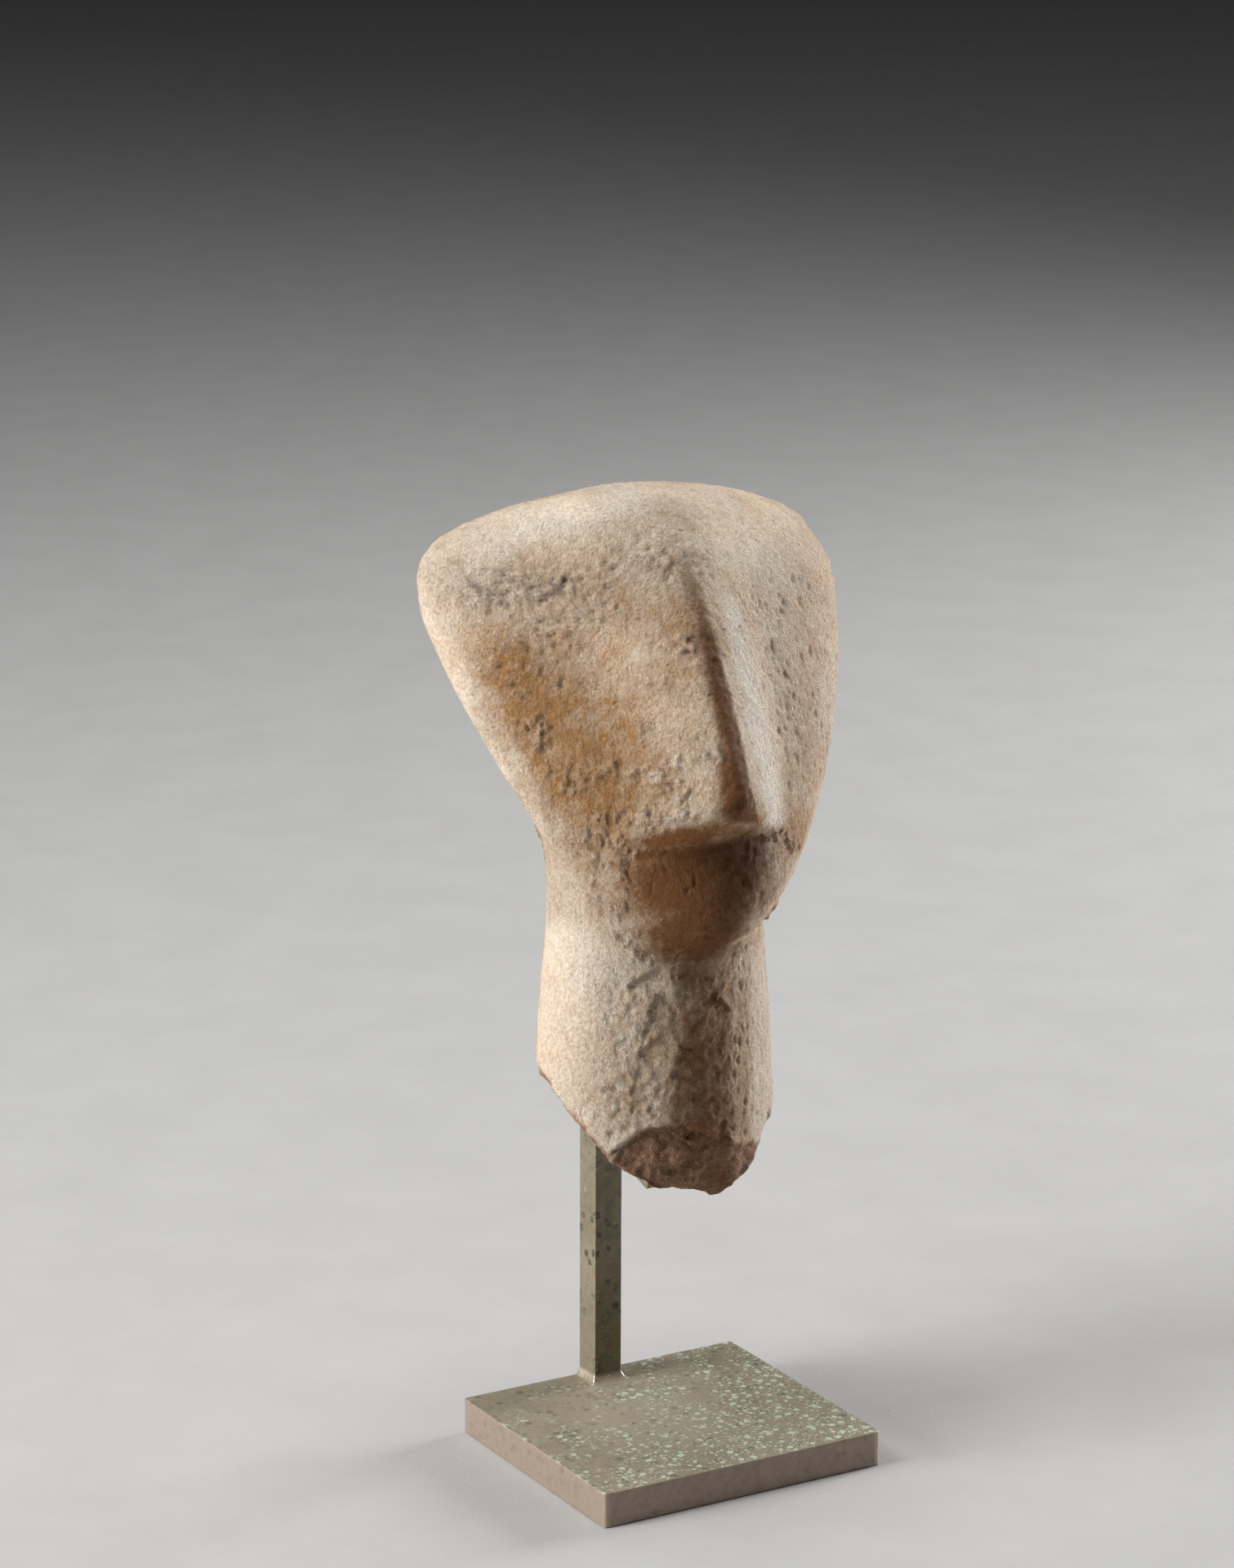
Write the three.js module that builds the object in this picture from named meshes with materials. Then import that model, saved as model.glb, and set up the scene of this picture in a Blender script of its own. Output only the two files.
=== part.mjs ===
// A broken-off marble idol head on a small brass stand: foot plate, square post and a sloping support arm.
// Millimetres, +Z up, the face looks along -Y, origin at the centre of the foot plate's underside.
import * as THREE from "three";
import { mergeVertices } from "three/addons/utils/BufferGeometryUtils.js";

// ---- stand ----
const PLATE_W = 50; // along X
const PLATE_D = 44.6; // along Y
const PLATE_T = 5.7;
const PLATE_CORNER_R = 0.6;
const PLATE_EDGE = 0.25; // broken edge round the top and the underside
const BAR = 5; // side of the square bar that post and arm are cut from
const POST_X = -1.2;
const POST_BACK_Y = PLATE_D / 2; // flush with the back edge of the plate
const POST_TOP = PLATE_T + 48.2;
const BRAZE_R = 1.1; // fillet of braze round the foot of the post
const ARM_SLOPE = 0.298; // rise of the arm towards the post, mm per mm
const ARM_TIP_Y = 1.56; // lower front edge of the arm
const ARM_TIP_Z = PLATE_T + 37.57;

// ---- head: its own frame, x across, y to the back, z up along the face ----
const HEAD = {
  tilt: 21.35, // degrees, the face leans back
  turn: -3.09, // degrees about the vertical
  roll: 0.27,
  at: [0.49, 1.35, PLATE_T + 112],
};
const SIDE = { half: 34.39, slope: 0.3936, bow: 0.0058 }; // half width of the shield-shaped outline
const CROWN = { top: 37.65, arc: 117.3, rise: 0.0736, bow: 0.0029 };
const CHIN = { bottom: -34.37, round: 0.0218, jaw: 0.4752 }; // the jaw rises to the back
const FACE = { depth: 11.43, slope: -0.0029, bow: 0.0024, roof: 0.55, flat: 14 };
const BACK = { depth: 14.71, slope: 0.2415, bow: -0.0016, side: 0.0081 };
const NOSE = {
  top: 30,
  base: -19.79,
  heightTop: 1.13,
  heightBase: 7.6,
  leftTop: 14.5, // half widths of the two flanks
  leftBase: 14.2,
  rightTop: 13,
  rightBase: 11,
  crestTop: 0.16, // roundness of the crest, share of the half width
  crestBase: 0.1,
  under: 5.8, // height of the rounded underside
};
const BLEND = { side: 13.5, crown: 9.83, chin: 8, neck: 7 };

// ---- neck: a flattened column, a little wider below ----
const NECK = {
  x: -1.62,
  halfX: 19.45,
  halfY: 13.6,
  square: 1.9, // exponent of the section, 2 is an ellipse
  flare: -0.0581,
  waist: 0.0224,
  waistZ: PLATE_T + 82,
  midZ: PLATE_T + 66,
  gap: 0.8, // clear of the post behind it
};
const REST_GAP = 0.3; // between the break and the arm below it

// ---- surface net ----
const DETAIL = 20;
const RELAX_ROUNDS = 240;

const rad = THREE.MathUtils.degToRad;
const clamp01 = (t) => Math.min(1, Math.max(0, t));
const smooth = (t) => ((t = clamp01(t)), t * t * (3 - 2 * t));
const softMax = (a, b, k) => {
  const h = Math.max(k - Math.abs(a - b), 0) / k;
  return Math.max(a, b) + h * h * k * 0.25;
};
const softMin = (a, b, k) => -softMax(-a, -b, k);

const [cosTilt, sinTilt] = [Math.cos(rad(HEAD.tilt)), Math.sin(rad(HEAD.tilt))];
const [cosTurn, sinTurn] = [Math.cos(rad(HEAD.turn)), Math.sin(rad(HEAD.turn))];
const [cosRoll, sinRoll] = [Math.cos(rad(HEAD.roll)), Math.sin(rad(HEAD.roll))];

// The nose is a long ridge, broader on the left, that grows towards its base and is cut off below by a
// sloping underside.
function noseHeight(x, z) {
  const s = Math.min(1.1, Math.max(0, (NOSE.top - z) / (NOSE.top - NOSE.base)));
  const at = (a, b) => a + (b - a) * s;
  const t = x < 0 ? -x / at(NOSE.leftTop, NOSE.leftBase) : x / at(NOSE.rightTop, NOSE.rightBase);
  const e = at(NOSE.crestTop, NOSE.crestBase);
  const ridge = 1 - 0.72 * (Math.hypot(t, e) - e) - 0.34 * t * t;
  const k = 0.26;
  const q = Math.max(ridge, 0) + Math.max(k - Math.abs(ridge), 0) ** 2 / (4 * k);
  const n = at(NOSE.heightTop, NOSE.heightBase) * q * smooth((NOSE.top + 8 - z) / 14);
  const low = NOSE.base - 0.9 * Math.exp(-(((x + 6) / 5) ** 2));
  const r = clamp01((z - low) / NOSE.under);
  return n * (1 - (1 - r) ** 1.7);
}

const faceDepth = (x, z) =>
  FACE.depth + FACE.slope * z - FACE.bow * z * z -
  FACE.roof * (Math.hypot(x, FACE.flat) - FACE.flat) + noseHeight(x, z);

function headDistance(X, Y, Z) {
  const dx = X - HEAD.at[0], dy = Y - HEAD.at[1], dz = Z - HEAD.at[2];
  const tx = dx * cosTurn + dy * sinTurn, ty = -dx * sinTurn + dy * cosTurn;
  const x = tx * cosRoll + dz * sinRoll, tz = -tx * sinRoll + dz * cosRoll;
  const y = ty * cosTilt - tz * sinTilt, z = ty * sinTilt + tz * cosTilt;
  const side = (Math.hypot(x, 1) - (SIDE.half + SIDE.slope * z - SIDE.bow * z * z)) / Math.hypot(1, SIDE.slope);
  const top = CROWN.top + CROWN.rise * y - CROWN.bow * y * y;
  const crown = Math.hypot(x, z - top + CROWN.arc) - CROWN.arc;
  const chin = (CHIN.bottom + CHIN.jaw * y - z + CHIN.round * x * x) /
    Math.sqrt(1 + CHIN.jaw ** 2 + 0.6 * (2 * CHIN.round * x) ** 2);
  const e = 0.25;
  const fx = (faceDepth(x + e, z) - faceDepth(x - e, z)) / (2 * e);
  const fz = (faceDepth(x, z + e) - faceDepth(x, z - e)) / (2 * e);
  const front = (-y - faceDepth(x, z)) / Math.sqrt(1 + fx * fx + fz * fz);
  const back = (y - (BACK.depth + BACK.slope * z - BACK.bow * z * z - BACK.side * x * x)) /
    Math.hypot(1, 2 * BACK.side * x);
  let d = softMax(side, crown, BLEND.crown);
  d = softMax(d, chin, BLEND.chin);
  return softMax(d, softMax(front, back, 4), BLEND.side);
}

function neckDistance(X, Y, Z) {
  const postFace = POST_BACK_Y - BAR;
  const grow = 1 + (NECK.flare * (Z - NECK.midZ)) / 20 - NECK.waist * Math.exp(-(((Z - NECK.waistZ) / 9) ** 2));
  const a = NECK.halfX * grow, b = NECK.halfY * grow, m = NECK.square;
  const u = Math.abs((X - NECK.x) / a), v = Math.abs((Y - (postFace - NECK.gap - NECK.halfY)) / b);
  const r = (u ** m + v ** m + 1e-9) ** (1 / m);
  const g = Math.hypot(u ** (m - 1) / a, v ** (m - 1) / b) * r ** (1 - m) + 1e-6;
  return (r - 1) / g;
}

// The old break below the neck: a stump of four sloping faces, the middle one lying on the arm, with a
// tongue of stone left hanging in front of the arm's end.
function breakDistance(X, Y, Z) {
  const z = Z - PLATE_T;
  const armTop = ARM_TIP_Z - PLATE_T + BAR * Math.hypot(1, ARM_SLOPE) - ARM_SLOPE * ARM_TIP_Y;
  const frontPart = smooth((0.8 - Y) / 6);
  const tongue = 2.9 * Math.exp(-(((X - 3.4) / 3.6) ** 2)) * frontPart;
  const bite = 2.3 * Math.exp(-(((X + 10) / 3.4) ** 2)) * frontPart;
  const flank = (0.6 + 2.6 * (1 - Math.exp(-0.1 * Math.max(X - 8, 0) ** 2))) * frontPart;
  const lift = (0.45 + 0.75 * Math.exp(-(((X + 8) / 4) ** 2))) * frontPart;
  const under = (armTop + REST_GAP + ARM_SLOPE * Y - tongue + lift - z) / Math.hypot(1, ARM_SLOPE);
  const left = (34.8 + 0.52 * Y - X + bite - z) / Math.hypot(1, 0.52, 1);
  const right = (36.5 + 0.2 * Y + 0.66 * X + flank - z) / Math.hypot(1, 0.2, 0.66);
  const front = -(Y + 8.9) * Math.cos(rad(17)) - (z - 38.6) * Math.sin(rad(17));
  return softMax(softMax(softMax(under, left, 1.6), right, 2), front, 0.9);
}

function stoneDistance(X, Y, Z) {
  const column = softMax(neckDistance(X, Y, Z), Z - (HEAD.at[2] - 5), 6);
  const carved = softMin(headDistance(X, Y, Z), column, BLEND.neck);
  return softMax(carved, breakDistance(X, Y, Z), 0.9);
}

// Moves a point along the slope of the distance until it lies on the stone's surface.
function ontoStone(p, rounds) {
  const e = 0.02;
  for (let i = 0; i < rounds; i++) {
    const d = stoneDistance(p.x, p.y, p.z);
    const g = new THREE.Vector3(
      stoneDistance(p.x + e, p.y, p.z) - stoneDistance(p.x - e, p.y, p.z),
      stoneDistance(p.x, p.y + e, p.z) - stoneDistance(p.x, p.y - e, p.z),
      stoneDistance(p.x, p.y, p.z + e) - stoneDistance(p.x, p.y, p.z - e),
    ).divideScalar(2 * e);
    p.addScaledVector(g, -THREE.MathUtils.clamp(d, -4, 4) / Math.max(g.lengthSq(), 0.2));
  }
  return p;
}

function marbleGeometry() {
  const ball = new THREE.IcosahedronGeometry(1, DETAIL);
  ball.deleteAttribute("normal");
  ball.deleteAttribute("uv");
  const net = mergeVertices(ball, 1e-5);
  const pos = net.attributes.position;
  const tri = net.index.array;
  const pts = [];
  for (let i = 0; i < pos.count; i++) {
    const v = new THREE.Vector3().fromBufferAttribute(pos, i);
    // egg that encloses head and neck: wide above, narrow below, leaning back with the face
    const up = (v.z + 1) / 2;
    const wide = 17 + 22 * smooth(up * 1.15);
    const deep = 13 + 9 * smooth(up * 1.1);
    const p = new THREE.Vector3(v.x * wide, 3 + v.y * deep + 6 * smooth(up * 1.6 - 0.6), PLATE_T + 91.5 + v.z * 57);
    pts.push(ontoStone(p, 8));
  }
  // each corner drifts to the area-weighted middle of the faces round it, which evens the net out
  const [ab, ac, mid] = [0, 0, 0].map(() => new THREE.Vector3());
  for (let round = 0; round < RELAX_ROUNDS; round++) {
    const sum = pts.map(() => new THREE.Vector3());
    const weight = new Float64Array(pts.length);
    for (let i = 0; i < tri.length; i += 3) {
      const [a, b, c] = [pts[tri[i]], pts[tri[i + 1]], pts[tri[i + 2]]];
      const area = ab.subVectors(b, a).cross(ac.subVectors(c, a)).length();
      mid.addVectors(a, b).add(c).divideScalar(3);
      for (let j = 0; j < 3; j++) {
        sum[tri[i + j]].addScaledVector(mid, area);
        weight[tri[i + j]] += area;
      }
    }
    pts.forEach((p, i) => {
      p.lerp(sum[i].divideScalar(weight[i]), 0.9);
      ontoStone(p, 1);
    });
  }
  pts.forEach((p, i) => {
    ontoStone(p, 3);
    pos.setXYZ(i, p.x, p.y, p.z);
  });
  net.computeVertexNormals();
  return net;
}

function plateGeometry() {
  const w = PLATE_W / 2 - PLATE_EDGE, d = PLATE_D / 2 - PLATE_EDGE, r = PLATE_CORNER_R;
  const s = new THREE.Shape();
  s.moveTo(-w + r, -d);
  s.lineTo(w - r, -d);
  s.absarc(w - r, -d + r, r, -Math.PI / 2, 0);
  s.lineTo(w, d - r);
  s.absarc(w - r, d - r, r, 0, Math.PI / 2);
  s.lineTo(-w + r, d);
  s.absarc(-w + r, d - r, r, Math.PI / 2, Math.PI);
  s.lineTo(-w, -d + r);
  s.absarc(-w + r, -d + r, r, Math.PI, 1.5 * Math.PI);
  const g = new THREE.ExtrudeGeometry(s, {
    depth: PLATE_T - 2 * PLATE_EDGE,
    bevelEnabled: true,
    bevelSize: PLATE_EDGE,
    bevelThickness: PLATE_EDGE,
    bevelSegments: 1,
    curveSegments: 3,
  });
  g.translate(0, 0, PLATE_EDGE);
  return g;
}

// A square bar whose foot spreads into the braze on its three free sides.
function postGeometry() {
  const height = POST_TOP - PLATE_T, steps = 12;
  const g = new THREE.BoxGeometry(BAR, BAR, height, 4, 4, steps);
  const pos = g.attributes.position;
  for (let i = 0; i < pos.count; i++) {
    const level = Math.round(((pos.getZ(i) + height / 2) / height) * steps);
    const low = steps - 1; // all levels but the last one lie in the fillet
    const angle = (Math.PI / 2) * (level / low);
    const z = level > low ? height : BRAZE_R * (1 - Math.cos(angle));
    const out = level > low ? 0 : BRAZE_R * (1 - Math.sin(angle));
    const x = pos.getX(i) * (1 + out / (BAR / 2));
    const y = BAR / 2 - (BAR / 2 - pos.getY(i)) * (1 + out / BAR);
    pos.setXYZ(i, x, y, z);
  }
  g.computeVertexNormals();
  g.translate(POST_X, POST_BACK_Y - BAR / 2, PLATE_T);
  return g;
}

// Outline in the Y-Z plane, one bar wide: square front end, upright back end against the post.
function armGeometry() {
  const len = Math.hypot(1, ARM_SLOPE), end = POST_BACK_Y - BAR;
  const tip = new THREE.Vector2(ARM_TIP_Y, ARM_TIP_Z);
  const tipTop = new THREE.Vector2(tip.x - (BAR * ARM_SLOPE) / len, tip.y + BAR / len);
  const s = new THREE.Shape([
    tip,
    new THREE.Vector2(end, tip.y + (end - tip.x) * ARM_SLOPE),
    new THREE.Vector2(end, tipTop.y + (end - tipTop.x) * ARM_SLOPE),
    tipTop,
  ]);
  const g = new THREE.ExtrudeGeometry(s, { depth: BAR, bevelEnabled: false, steps: 1 });
  g.applyMatrix4(new THREE.Matrix4().makeBasis(
    new THREE.Vector3(0, 1, 0), new THREE.Vector3(0, 0, 1), new THREE.Vector3(1, 0, 0)));
  g.translate(POST_X - BAR / 2, 0, 0);
  return g;
}

const bronze = { roughness: 0.45, metalness: 0.85 };
function piece(name, geometry, material) {
  const mesh = new THREE.Mesh(geometry, new THREE.MeshStandardMaterial(material));
  mesh.name = name;
  return mesh;
}

const idol = new THREE.Group();
const stand = new THREE.Group();
stand.add(
  piece("base_plate", plateGeometry(), { color: 0x7c7362, ...bronze }),
  piece("post", postGeometry(), { color: 0x6f6547, ...bronze }),
  piece("support_arm", armGeometry(), { color: 0x6f6547, ...bronze }),
);
idol.add(stand, piece("marble_head", marbleGeometry(), { color: 0xd9bd9a, roughness: 0.8, metalness: 0 }));

export default idol;
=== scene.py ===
import math

import bpy
import numpy as np
from mathutils import Matrix, Vector


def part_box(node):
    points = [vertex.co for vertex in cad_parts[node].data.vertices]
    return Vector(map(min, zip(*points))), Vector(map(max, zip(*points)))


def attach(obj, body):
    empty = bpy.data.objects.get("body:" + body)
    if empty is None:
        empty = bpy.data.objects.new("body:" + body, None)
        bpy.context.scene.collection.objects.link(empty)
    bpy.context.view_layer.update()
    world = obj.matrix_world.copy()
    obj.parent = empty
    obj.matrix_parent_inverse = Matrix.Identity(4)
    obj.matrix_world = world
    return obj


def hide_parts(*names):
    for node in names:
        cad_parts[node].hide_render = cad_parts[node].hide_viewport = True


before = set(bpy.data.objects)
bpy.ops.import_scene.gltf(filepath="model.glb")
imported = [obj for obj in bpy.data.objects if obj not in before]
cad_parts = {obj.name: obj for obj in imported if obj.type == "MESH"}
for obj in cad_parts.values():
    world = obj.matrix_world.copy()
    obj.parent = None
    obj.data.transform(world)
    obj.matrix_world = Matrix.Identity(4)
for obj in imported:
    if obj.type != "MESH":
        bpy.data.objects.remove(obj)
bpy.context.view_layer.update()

# Lengths below are millimetres above the plate's top unless they say otherwise; meshes are written in metres.
MM = 0.001
PLATE_W, PLATE_D, PLATE_T = 50.0, 44.6, 5.7
BAR = 5.0
POST_X, POST_BACK, POST_H = -1.2, 22.3, 48.2
BRAZE = 1.1
ARM_SLOPE, ARM_TIP_Y, ARM_TIP_Z = 0.298, 1.56, 37.57

# ---------------------------------------------------------------- noise


def _hash(ix, iy, iz, seed):
    h = (ix.astype(np.uint32) * np.uint32(374761393)
         ^ iy.astype(np.uint32) * np.uint32(668265263)
         ^ iz.astype(np.uint32) * np.uint32(2246822519)
         ^ np.uint32((seed * 3266489917 + 374761393) & 0xFFFFFFFF))
    h = (h ^ (h >> np.uint32(15))) * np.uint32(2246822519)
    h = (h ^ (h >> np.uint32(13))) * np.uint32(3266489917)
    return h ^ (h >> np.uint32(16))


def noise(P, size, seed=0):
    """Gradient noise of about -1..1, with features of that size in mm (one number or three)."""
    q = P / np.asarray(size, float)
    i = np.floor(q).astype(np.int64)
    f = q - i
    w = f * f * f * (f * (f * 6 - 15) + 10)
    out = np.zeros(len(P))
    for dx in (0, 1):
        for dy in (0, 1):
            for dz in (0, 1):
                h = _hash(i[:, 0] + dx, i[:, 1] + dy, i[:, 2] + dz, seed)
                gx = (h & 1023) / 511.5 - 1
                gy = ((h >> 10) & 1023) / 511.5 - 1
                gz = ((h >> 20) & 1023) / 511.5 - 1
                dot = gx * (f[:, 0] - dx) + gy * (f[:, 1] - dy) + gz * (f[:, 2] - dz)
                k = ((w[:, 0] if dx else 1 - w[:, 0]) * (w[:, 1] if dy else 1 - w[:, 1])
                     * (w[:, 2] if dz else 1 - w[:, 2]))
                out += dot * k
    return out * 1.5


def fbm(P, size, octaves=3, seed=0, gain=0.5):
    out, a, t = np.zeros(len(P)), 1.0, 0.0
    s = np.asarray(size, float)
    for o in range(octaves):
        out += a * noise(P, s, seed + 17 * o)
        t += a
        a *= gain
        s = s / 2.03
    return out / t


def cells(P, size, seed=0):
    """Distance to the nearest and the second nearest of scattered points, in cell sizes, and a random number of the nearest."""
    q = P / np.asarray(size, float)
    i = np.floor(q).astype(np.int64)
    f = q - i
    f1 = np.full(len(P), 9.0)
    f2 = np.full(len(P), 9.0)
    r = np.zeros(len(P))
    for dx in (-1, 0, 1):
        for dy in (-1, 0, 1):
            for dz in (-1, 0, 1):
                h = _hash(i[:, 0] + dx, i[:, 1] + dy, i[:, 2] + dz, seed)
                x = (h & 1023) / 1023 + dx - f[:, 0]
                y = ((h >> 10) & 1023) / 1023 + dy - f[:, 1]
                z = ((h >> 20) & 1023) / 1023 + dz - f[:, 2]
                d = np.sqrt(x * x + y * y + z * z)
                near = d < f1
                f2 = np.where(near, f1, np.minimum(f2, d))
                r = np.where(near, ((h >> 5) & 255) / 255, r)
                f1 = np.where(near, d, f1)
    return f1, f2, r


def sstep(a, b, x):
    t = np.clip((x - a) / (b - a), 0, 1)
    return t * t * (3 - 2 * t)


def smax(a, b, k):
    h = np.maximum(k - np.abs(a - b), 0) / k
    return np.maximum(a, b) + h * h * k * 0.25


def smin(a, b, k):
    return -smax(-a, -b, k)


# ---------------------------------------------------------------- the carved stone, as a distance
TILT, TURN, ROLL = (math.radians(v) for v in (21.35, -3.09, 0.27))
AT = (0.49, 1.35, 112.0)
SIDE = dict(half=34.39, slope=0.3936, bow=0.0058)
CROWN = dict(top=37.65, arc=117.3, rise=0.0736, bow=0.0029)
CHIN = dict(bottom=-34.37, round=0.0218, jaw=0.4752)
FACE = dict(depth=11.43, slope=-0.0029, bow=0.0024, roof=0.55, flat=14.0)
BACK = dict(depth=14.71, slope=0.2415, bow=-0.0016, side=0.0081)
NOSE = dict(top=30.0, base=-19.79, height_top=1.13, height_base=7.6, left_top=14.5, left_base=14.2,
            right_top=13.0, right_base=11.0, under=5.8)
NECK = dict(x=-1.62, half_x=19.45, half_y=13.6, square=1.9, flare=-0.0581, waist=0.0224, gap=0.8)


def head_frame(P):
    X, Y, Z = P[:, 0] - AT[0], P[:, 1] - AT[1], P[:, 2] - AT[2]
    x = X * math.cos(TURN) + Y * math.sin(TURN)
    y = -X * math.sin(TURN) + Y * math.cos(TURN)
    x, Z = x * math.cos(ROLL) + Z * math.sin(ROLL), -x * math.sin(ROLL) + Z * math.cos(ROLL)
    return x, y * math.cos(TILT) - Z * math.sin(TILT), y * math.sin(TILT) + Z * math.cos(TILT)


def nose_height(x, z):
    """A long ridge, broader on the left, that grows towards its base and is cut off below by a sloping underside."""
    s = np.clip((NOSE["top"] - z) / (NOSE["top"] - NOSE["base"]), 0, 1.1)
    h = NOSE["height_top"] + (NOSE["height_base"] - NOSE["height_top"]) * s
    wl = NOSE["left_top"] + (NOSE["left_base"] - NOSE["left_top"]) * s
    wr = NOSE["right_top"] + (NOSE["right_base"] - NOSE["right_top"]) * s
    t = np.where(x < 0, -x / wl, x / wr)
    soft = 0.16 - 0.06 * s
    bend = np.sqrt(t * t + soft * soft) - soft
    ridge = 1 - (0.72 * bend + 0.34 * t * t)
    k = 0.26
    q = np.maximum(ridge, 0) + np.maximum(k - np.abs(ridge), 0) ** 2 / (4 * k)
    n = h * q * sstep(0, 1, (NOSE["top"] + 8 - z) / 14)
    low = NOSE["base"] - 0.9 * np.exp(-(((x + 6.0) / 5.0) ** 2))
    r = np.clip((z - low) / NOSE["under"], 0, 1)
    return n * (1 - (1 - r) ** 1.7)


def face_depth(x, z):
    return (FACE["depth"] + FACE["slope"] * z - FACE["bow"] * z * z
            - FACE["roof"] * (np.sqrt(x * x + FACE["flat"] ** 2) - FACE["flat"]) + nose_height(x, z))


def head_distance(P):
    x, y, z = head_frame(P)
    side = (np.sqrt(x * x + 1) - (SIDE["half"] + SIDE["slope"] * z - SIDE["bow"] * z * z)) / math.hypot(1, SIDE["slope"])
    top = CROWN["top"] + CROWN["rise"] * y - CROWN["bow"] * y * y
    crown = np.sqrt(x * x + (z - top + CROWN["arc"]) ** 2) - CROWN["arc"]
    chin = (CHIN["bottom"] + CHIN["jaw"] * y - z + CHIN["round"] * x * x) / np.sqrt(
        1 + CHIN["jaw"] ** 2 + 0.6 * (2 * CHIN["round"] * x) ** 2)
    e = 0.25
    F = face_depth(x, z)
    fx = (face_depth(x + e, z) - face_depth(x - e, z)) / (2 * e)
    fz = (face_depth(x, z + e) - face_depth(x, z - e)) / (2 * e)
    front = (-y - F) / np.sqrt(1 + fx * fx + fz * fz)
    back = (y - (BACK["depth"] + BACK["slope"] * z - BACK["bow"] * z * z - BACK["side"] * x * x)) / np.sqrt(
        1 + (2 * BACK["side"] * x) ** 2)
    d = smax(side, crown, 9.83)
    d = smax(d, chin, 8.0)
    return smax(d, smax(front, back, 4.0), 13.5)


def neck_distance(P):
    Z = P[:, 2]
    grow = 1 + NECK["flare"] * (Z - 66) / 20 - NECK["waist"] * np.exp(-(((Z - 82) / 9) ** 2))
    a, b, m = NECK["half_x"] * grow, NECK["half_y"] * grow, NECK["square"]
    u = np.abs((P[:, 0] - NECK["x"]) / a)
    v = np.abs((P[:, 1] - (POST_BACK - BAR - NECK["gap"] - NECK["half_y"])) / b)
    r = (u ** m + v ** m + 1e-9) ** (1 / m)
    g = np.sqrt((u ** (m - 1) / a) ** 2 + (v ** (m - 1) / b) ** 2) * r ** (1 - m) + 1e-6
    return (r - 1) / g


def break_distance(P):
    """The old break: four sloping faces, with a tongue of stone left hanging in front."""
    X, Y, Z = P[:, 0], P[:, 1], P[:, 2]
    front_part = sstep(0, 1, (0.8 - Y) / 6)
    tongue = 2.9 * np.exp(-(((X - 3.4) / 3.6) ** 2)) * front_part
    bite = 2.3 * np.exp(-(((X + 10) / 3.4) ** 2)) * front_part
    flank = (0.6 + 2.6 * (1 - np.exp(-0.1 * np.maximum(X - 8, 0) ** 2))) * front_part
    lift = (0.45 + 0.75 * np.exp(-(((X + 8) / 4) ** 2))) * front_part
    under = (43.1 + ARM_SLOPE * (Y - 1.6) - tongue + lift - Z) / math.hypot(1, ARM_SLOPE)
    left = (34.8 + 0.52 * Y - X + bite - Z) / math.sqrt(1 + 0.52 ** 2 + 1)
    right = (36.5 + 0.2 * Y + 0.66 * X + flank - Z) / math.sqrt(1 + 0.2 ** 2 + 0.66 ** 2)
    c, s = math.cos(math.radians(17)), math.sin(math.radians(17))
    front = -(Y + 8.9) * c - (Z - 38.6) * s
    return smax(smax(smax(under, left, 1.6), right, 2.0), front, 0.9)


def stone(P):
    column = smax(neck_distance(P), P[:, 2] - (AT[2] - 5), 6.0)
    carved = smin(head_distance(P), column, 7.0)
    return smax(carved, break_distance(P), 0.9)


def slope_of(P, f=stone, e=0.02):
    g = np.empty_like(P)
    for i in range(3):
        d = np.zeros(3)
        d[i] = e
        g[:, i] = (f(P + d) - f(P - d)) / (2 * e)
    return g


def settle(P, rounds=1, f=stone):
    """Moves points along the slope of the distance onto the surface."""
    for _ in range(rounds):
        d = f(P)
        g = np.empty_like(P)
        for i in range(3):
            s = np.zeros(3)
            s[i] = 0.02
            g[:, i] = (f(P + s) - d) / 0.02
        P = P - g * (np.clip(d, -4, 4) / np.maximum((g * g).sum(1), 0.2))[:, None]
    return P


# ---------------------------------------------------------------- a net of near-equal triangles over the stone


def icosphere(n):
    g = (1 + math.sqrt(5)) / 2
    v = np.array([(-1, g, 0), (1, g, 0), (-1, -g, 0), (1, -g, 0), (0, -1, g), (0, 1, g), (0, -1, -g), (0, 1, -g),
                  (g, 0, -1), (g, 0, 1), (-g, 0, -1), (-g, 0, 1)], float)
    v /= np.linalg.norm(v[0])
    t = [(0, 11, 5), (0, 5, 1), (0, 1, 7), (0, 7, 10), (0, 10, 11), (1, 5, 9), (5, 11, 4), (11, 10, 2), (10, 7, 6),
         (7, 1, 8), (3, 9, 4), (3, 4, 2), (3, 2, 6), (3, 6, 8), (3, 8, 9), (4, 9, 5), (2, 4, 11), (6, 2, 10),
         (8, 6, 7), (9, 8, 1)]
    pts, tris, known = [], [], {}

    def at(a, b, c, i, j):
        p = (v[a] * (n - i - j) + v[b] * i + v[c] * j) / n
        p = p / np.linalg.norm(p)
        key = tuple(np.round(p, 6) + 0.0)
        if key not in known:
            known[key] = len(pts)
            pts.append(p)
        return known[key]

    for a, b, c in t:
        for i in range(n):
            for j in range(n - i):
                tris.append((at(a, b, c, i, j), at(a, b, c, i + 1, j), at(a, b, c, i, j + 1)))
                if i + j < n - 1:
                    tris.append((at(a, b, c, i + 1, j), at(a, b, c, i + 1, j + 1), at(a, b, c, i, j + 1)))
    return np.array(pts), np.array(tris)


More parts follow.
